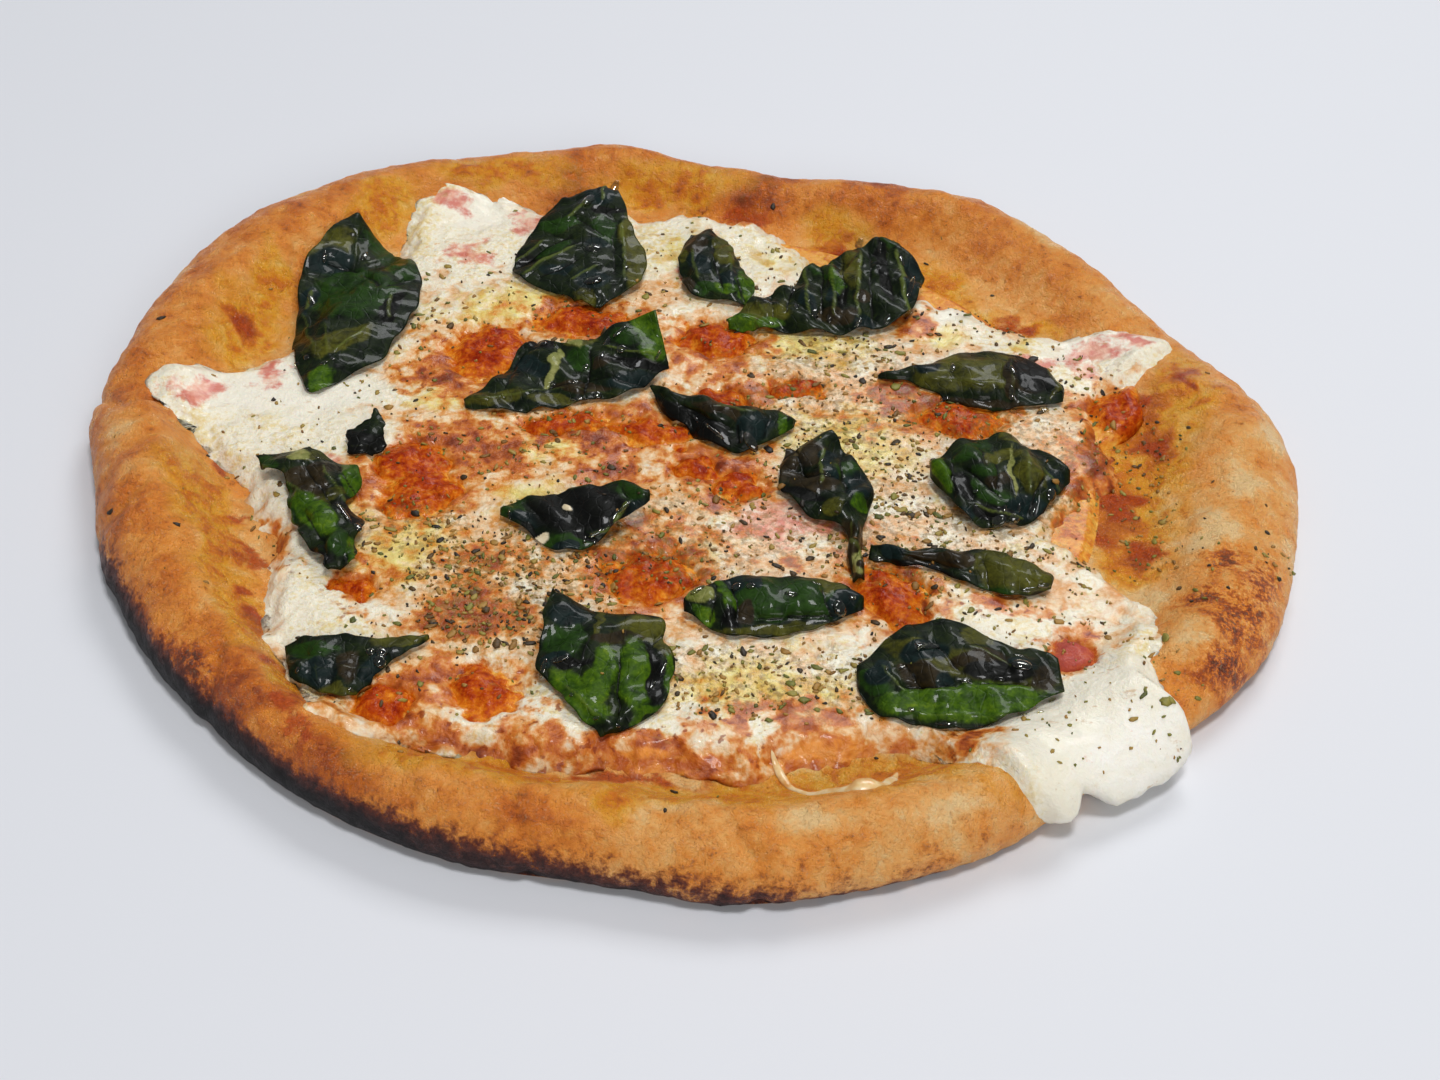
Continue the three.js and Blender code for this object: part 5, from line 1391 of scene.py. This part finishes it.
# %% Set drops of oil
# middle as it looks from the diner's seat, size along and across, and turn, in mm
DROPS = [
    (-106, 76, 4, 1.5, 100), (-95, 77, 4, 1.8, 80), (-106, 54, 6, 2, 115), (-103, 28, 2, 1.5, 0),
    (-98, 26, 2.4, 1.8, 30), (-96, 28, 1.6, 1.3, 0), (-105, 25, 1.8, 1.2, 0), (-34, 112, 9, 3, 72),
    (-27, 119, 6, 2.5, 80), (-21, 77, 2.5, 1.2, 70), (-31, 86, 5, 4, 0), (-30, 70, 6, 4, 0),
    (45, 94, 6, 2.4, 75), (57, 87, 5, 2, 100), (59, 73, 8, 1.6, 85), (58, 60, 5, 2, 60),
    (32, 58, 4, 2.6, 80), (26, 69, 5, 1.4, 95), (27, 62, 6, 1.4, 95), (36, 56, 3, 1.5, 80),
    (46, 50, 3, 1.8, 60), (44, 55, 3, 1.5, 60), (52, 57, 4, 2, 60), (20, 53, 2, 1.6, 0),
    (51, 93, 4, 1.2, 80), (-21, 46, 5, 1.4, 45), (-24, 41, 6, 1.7, 65), (-25, 35, 4, 1.5, 80),
    (-20, 38, 3, 2.6, 60), (-41, 39, 2.4, 2.2, 0), (-29, 29, 2.4, 1.6, 60), (-31, 22, 2.5, 1.6, 0),
    (-37, 21, 2, 1.3, 0), (-25, 17, 2.6, 2.6, 0), (-30, 15, 4, 1.2, 10), (-10, 36, 4, 1, 80),
    (69, 36, 4, 1.5, 85), (85, 36, 4, 1.5, 100), (84, 26, 5, 1.4, 85), (84, 18, 2.4, 2, 0),
    (92, 19, 3.4, 2.8, 40), (66, 22, 3, 1.6, 0), (13, 2, 4, 1.8, 60), (15.5, 0, 6, 2.8, 120),
    (1, 9, 4, 0.9, 115), (6, 4, 8, 0.9, 130), (81, -26, 3, 2.8, 0), (79, -22, 4, 1, 85),
    (82.5, -22, 4, 1.1, 85), (86, -22, 5, 1.8, 60), (91, -16, 4.4, 3, 75), (77, -27, 4.4, 3.2, 20),
    (72, -16, 1.6, 1.2, 0), (76, -30, 4, 1.2, 20), (34, -6, 2, 1.2, 60), (35, -12, 2, 1.4, 0),
    (33, -26, 3, 0.9, 60), (-79, -40, 3, 2.2, 120), (-83, -35, 8, 1.6, 135), (-93, -14, 1.5, 1, 0),
    (-83, -2, 1.2, 1, 0), (-80, -52, 3, 0.8, 110), (-15, -28, 6, 1.1, 60), (-18, -33, 6, 1.1, 55),
    (-21, -38, 5, 1.1, 40), (-16, -34.5, 2.6, 1.5, 120), (-24, -41, 1.2, 2.4, 0), (-21.5, -41.5, 1.2, 2, 0),
    (-43, -33, 3, 0.8, 70), (47, -43.5, 3.4, 1.6, 10), (83, -52, 5, 1.4, 15), (86.5, -50.3, 4, 1.4, 8),
    (77, -54.5, 4, 1.2, 0), (81, -54.8, 2, 1, 0), (86, -54, 1.4, 1.2, 0), (13, -55.5, 3, 2.4, 0),
    (16.5, -55, 2.6, 2, 0), (26, -57.2, 3.4, 1.8, 0), (37.5, -61.5, 3.6, 4.4, 40), (40.5, -57.5, 2, 1.5, 0),
    (32, -53, 3, 0.8, 170), (4, -57, 5, 2, 50), (36, -67, 3, 1.2, 20), (-69.5, -83, 2.4, 2, 0),
    (-67, -82.8, 3, 2.2, 0), (-67, -86, 3, 3.6, 0), (-72, -95.5, 2, 1.2, 0), (-85, -90, 1.8, 1, 60),
    (-30, -86, 5, 1.3, 70), (-27, -83, 6, 1.4, 25), (-3, -85, 6, 1, 80), (-5, -90, 4, 0.9, 70),
    (-23, -94, 1.4, 1.2, 0), (-17, -101, 1.8, 1, 0), (-12, -103, 1.4, 1.2, 0), (60, -98, 4, 1, 175),
    (68, -98, 6, 1, 5), (78, -94, 2.6, 1, 20), (85, -89, 2.6, 1.2, 40), (53, -94, 2, 1.2, 0),
    (82, -93, 2, 1, 20), (54, -83, 5, 1, 60), (52, -80, 4, 1, 50), (74, -83, 2, 1, 10),
    (66, -84, 3, 0.9, 10), (79, -75, 4, 1, 0), (48, -81, 2.4, 1, 70), (58, -73, 8, 2.4, 25),
    (79, -78, 5, 3.6, 0),
]
DROP_HEIGHT = 0.22  # height of a bead above its middle, as a share of its width


def drop_mesh(over):
    """Every drop as one joined mesh, each turned to lie on what is below it."""
    eye = EYE + MIDDLE
    bm = bmesh.new()
    for px, py, long, wide, turn in DROPS:
        aim = Vector((px, py, LEAF_LEVEL)) + MIDDLE - eye
        hit, normal, _, _ = over.ray_cast(eye * MM, aim.normalized())
        lie = normal.to_track_quat("Z", "Y").to_matrix().to_4x4()
        heading = lie.inverted() @ Vector((math.cos(math.radians(turn)), math.sin(math.radians(turn)), 0))
        spin = Matrix.Rotation(math.atan2(heading.y, heading.x), 4, "Z")
        size = Matrix.Diagonal((long / 2 * MM, wide / 2 * MM, DROP_HEIGHT * wide * MM, 1))
        place = Matrix.Translation(hit) @ lie @ spin @ size
        bmesh.ops.create_icosphere(bm, subdivisions=2, radius=1, matrix=place)
    mesh = bpy.data.meshes.new("oil_drops")
    bm.to_mesh(mesh)
    bm.free()
    return mesh


surface = tree_of([dough, sauce, cheese, *leaves.values()])
drops = linked("oil_drops", drop_mesh(surface))
oil = Finish("clear_oil", Base_Color=colour("e6e6c0"), Roughness=0.02, IOR=1.46)
oil.set(Transmission_Weight=1.0, Coat_Weight=1.0)
oil.wear(drops)
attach(drops, "root")
print("drops of oil:", len(DROPS))

# %% [markdown]
# ## Dried herbs
#
# A pinch of dried oregano lies over the whole pizza, thickest towards the middle. A particle
# system would scatter it, but particles don't stay with an exported model, so each flake is drawn
# from a seeded list of random numbers and all of them are joined in one mesh. A flake is a small
# curled ring of uneven corners that lies on the cheese.

# %% Scatter flakes of herbs
# middle, size along and across, turn, and how many flakes fall there
HERB_PLACES = [
    (0, 0, 230, 190, 0, 900), (-40, -57, 52, 42, 0, 560), (40, 18, 60, 70, 0, 330),
    (62, -36, 60, 36, 0, 260), (-66, -36, 34, 26, 0, 110), (20, -86, 90, 26, 0, 200),
    (4, -34, 70, 40, 0, 240), (-40, 0, 60, 40, 0, 120), (90, 20, 50, 70, 0, 150), (60, 55, 60, 40, 0, 90),
    (120, 5, 16, 30, 0, 40), (143, -38, 14, 12, 0, 16), (118, -30, 22, 60, 15, 50),
    (98, -84, 44, 46, 45, 14), (-84, 40, 40, 40, 0, 60), (-50, 66, 60, 40, 0, 60), (0, 80, 60, 60, 0, 50),
    (-100, 0, 50, 50, 0, 30), (-60, -84, 60, 34, 0, 80), (0, 0, 292, 272, 0, 70), (80, -52, 50, 50, 0, 150),
    (44, -8, 50, 30, 0, 150),
]
OLIVE_PLACES = [(98, -90, 52, 46, 45, 80), (20, -86, 80, 24, 0, 120), (112, -10, 20, 60, 0, 40)]
HERB_SEED = 12
CRUMBS = [  # burnt
    (-143, 37, 2.4), (-138, -42, 2.2), (-120, -49, 2), (65, 95, 2), (20, 115, 2.4), (143, -28, 1.8),
]
LEAF_SHARE = 0.025  # how many of the flakes that fall on a leaf stay on it
FLAKE_THICK, FLAKE_MOST = 0.4, 3.2  # thickness and greatest length in mm
LOWEST, STEEPEST = 1.5, 0.3  # no flake lies lower than this in mm, or where the normal is less upright
FULL_TURN = 6.283  # radians


def flake(bm, tints, spot, normal, size, tint, draw):
    """One curled flake on a spot of the surface, with one number for its tone on all its corners."""
    turn = Matrix.Rotation(draw.uniform(0, FULL_TURN), 4, "Z")
    lie = normal.to_track_quat("Z", "Y").to_matrix().to_4x4() @ turn
    slim, curl = draw.uniform(0.32, 0.8), draw.uniform(0.0, 0.5)
    made = bmesh.ops.create_cone(
        bm, cap_ends=True, cap_tris=True, segments=7, radius1=size / 2, radius2=0.36 * size, depth=FLAKE_THICK
    )
    for vertex in made["verts"]:
        vertex.co.x += draw.uniform(-0.14, 0.14) * size
        vertex.co.y = (vertex.co.y + draw.uniform(-0.14, 0.14) * size) * slim
        vertex.co.z += 0.12 + curl * vertex.co.x**2 / size
        vertex.co = Matrix.Translation(spot) @ (lie @ (vertex.co * MM))
        tints.append(tint)


def herb_mesh(over):
    draw = random.Random(HERB_SEED)
    bm, tints = bmesh.new(), []
    for px, py, size in CRUMBS:
        hit, normal, _, _ = over.ray_cast((Vector((px, py, ABOVE)) + MIDDLE) * MM, DOWN)
        flake(bm, tints, hit, normal, size, 0.05, draw)
    places = [(*place, 0.0) for place in HERB_PLACES] + [(*place, 0.45) for place in OLIVE_PLACES]
    for px, py, long, wide, turn, count, darkest in places:
        c, s = math.cos(math.radians(turn)), math.sin(math.radians(turn))
        for _ in range(count):
            reach, bearing = math.sqrt(draw.random()), draw.uniform(0, FULL_TURN)
            a, b = reach * math.cos(bearing) * long / 2, reach * math.sin(bearing) * wide / 2
            start = (Vector((px + a * c - b * s, py + a * s + b * c, ABOVE)) + MIDDLE) * MM
            hit, normal, _, _ = over.ray_cast(start, DOWN)
            if not hit or hit.z < LOWEST * MM or normal.z < STEEPEST:
                continue
            on_leaf = hit.z - bed.ray_cast(start, DOWN)[0].z > 0.2 * MM
            if not on_leaf or draw.random() < LEAF_SHARE:
                size = min(FLAKE_MOST, draw.lognormvariate(0.05, 0.5))
                flake(bm, tints, hit, normal, size, draw.uniform(darkest, 1), draw)
    mesh = bpy.data.meshes.new("dried_herbs")
    bm.to_mesh(mesh)
    bm.free()
    mark(mesh, "tint", tints)
    return mesh


def herb_finish():
    f = Finish("dried_oregano", Roughness=0.55)
    tone = f.plus(f.times(f.marked("tint"), 0.84), f.noise(0.5, 3, 0.6), 0.22)
    browns = [(0.12, "18120a"), (0.25, "42300f"), (0.4, "80581c"), (0.58, "a67c36")]
    greens = [(0.75, "948838"), (0.88, "6a6c24"), (1.0, "343e18")]
    f.set(Base_Color=f.ramp(tone, browns + greens))
    return f


herbs = linked("dried_herbs", herb_mesh(surface))
herb_finish().wear(herbs)
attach(herbs, "root")
print("herb faces:", len(herbs.data.polygons))

# %% [markdown]
# ## The table and the light
#
# A plain pale table catches the soft shadow. The light is that of a bright window behind the
# pizza, to the right, with a lamp overhead and a room light in front and to the right, so the wet
# leaves glint along their far edges and the near rim stays warm.

# %% Lay the table and hang the lights
TABLE_SIZE, TABLE_GAP = 4.0, 0.0004  # m from the middle to an edge, and how far it lies below the pizza
# place and size in m, power in W, and tint
LIGHTS = {
    "window": ((0.6, 1.8, 1.8), (1.3, 0.7), 27, (0.98, 0.99, 1.0)),
    "skylight": ((0.15, -0.3, 1.9), (0.4, 0.4), 17, (0.99, 0.99, 1.0)),
    "room": ((0.9, -2.4, 1.3), (1.6, 0.9), 26, (1.0, 0.97, 0.93)),
}
SKY, SKY_STRENGTH = (0.92, 0.95, 1.0, 1), 0.2

table_mesh = bpy.data.meshes.new("table")
bm = bmesh.new()
bmesh.ops.create_grid(bm, x_segments=1, y_segments=1, size=TABLE_SIZE)
bm.to_mesh(table_mesh)
bm.free()
table = linked("table", table_mesh)
table.location.z = -TABLE_GAP
Finish("pale_table", Base_Color=colour("dcdee3"), Roughness=0.6).wear(table)

for name, (place, size, power, tint) in LIGHTS.items():
    light = bpy.data.lights.new(name, "AREA")
    light.shape, light.size, light.size_y = "RECTANGLE", size[0], size[1]
    light.energy, light.color = power, tint
    lamp = bpy.data.objects.new(name, light)
    scene.collection.objects.link(lamp)
    lamp.location = place
    lamp.rotation_euler = Vector(place).to_track_quat("Z", "Y").to_euler()

world = bpy.data.worlds.new("room")
scene.world = world
world.use_nodes = True
background = world.node_tree.nodes["Background"]
background.inputs["Color"].default_value = SKY
background.inputs["Strength"].default_value = SKY_STRENGTH
scene.view_settings.view_transform = "Standard"
print("lights:", len(LIGHTS))
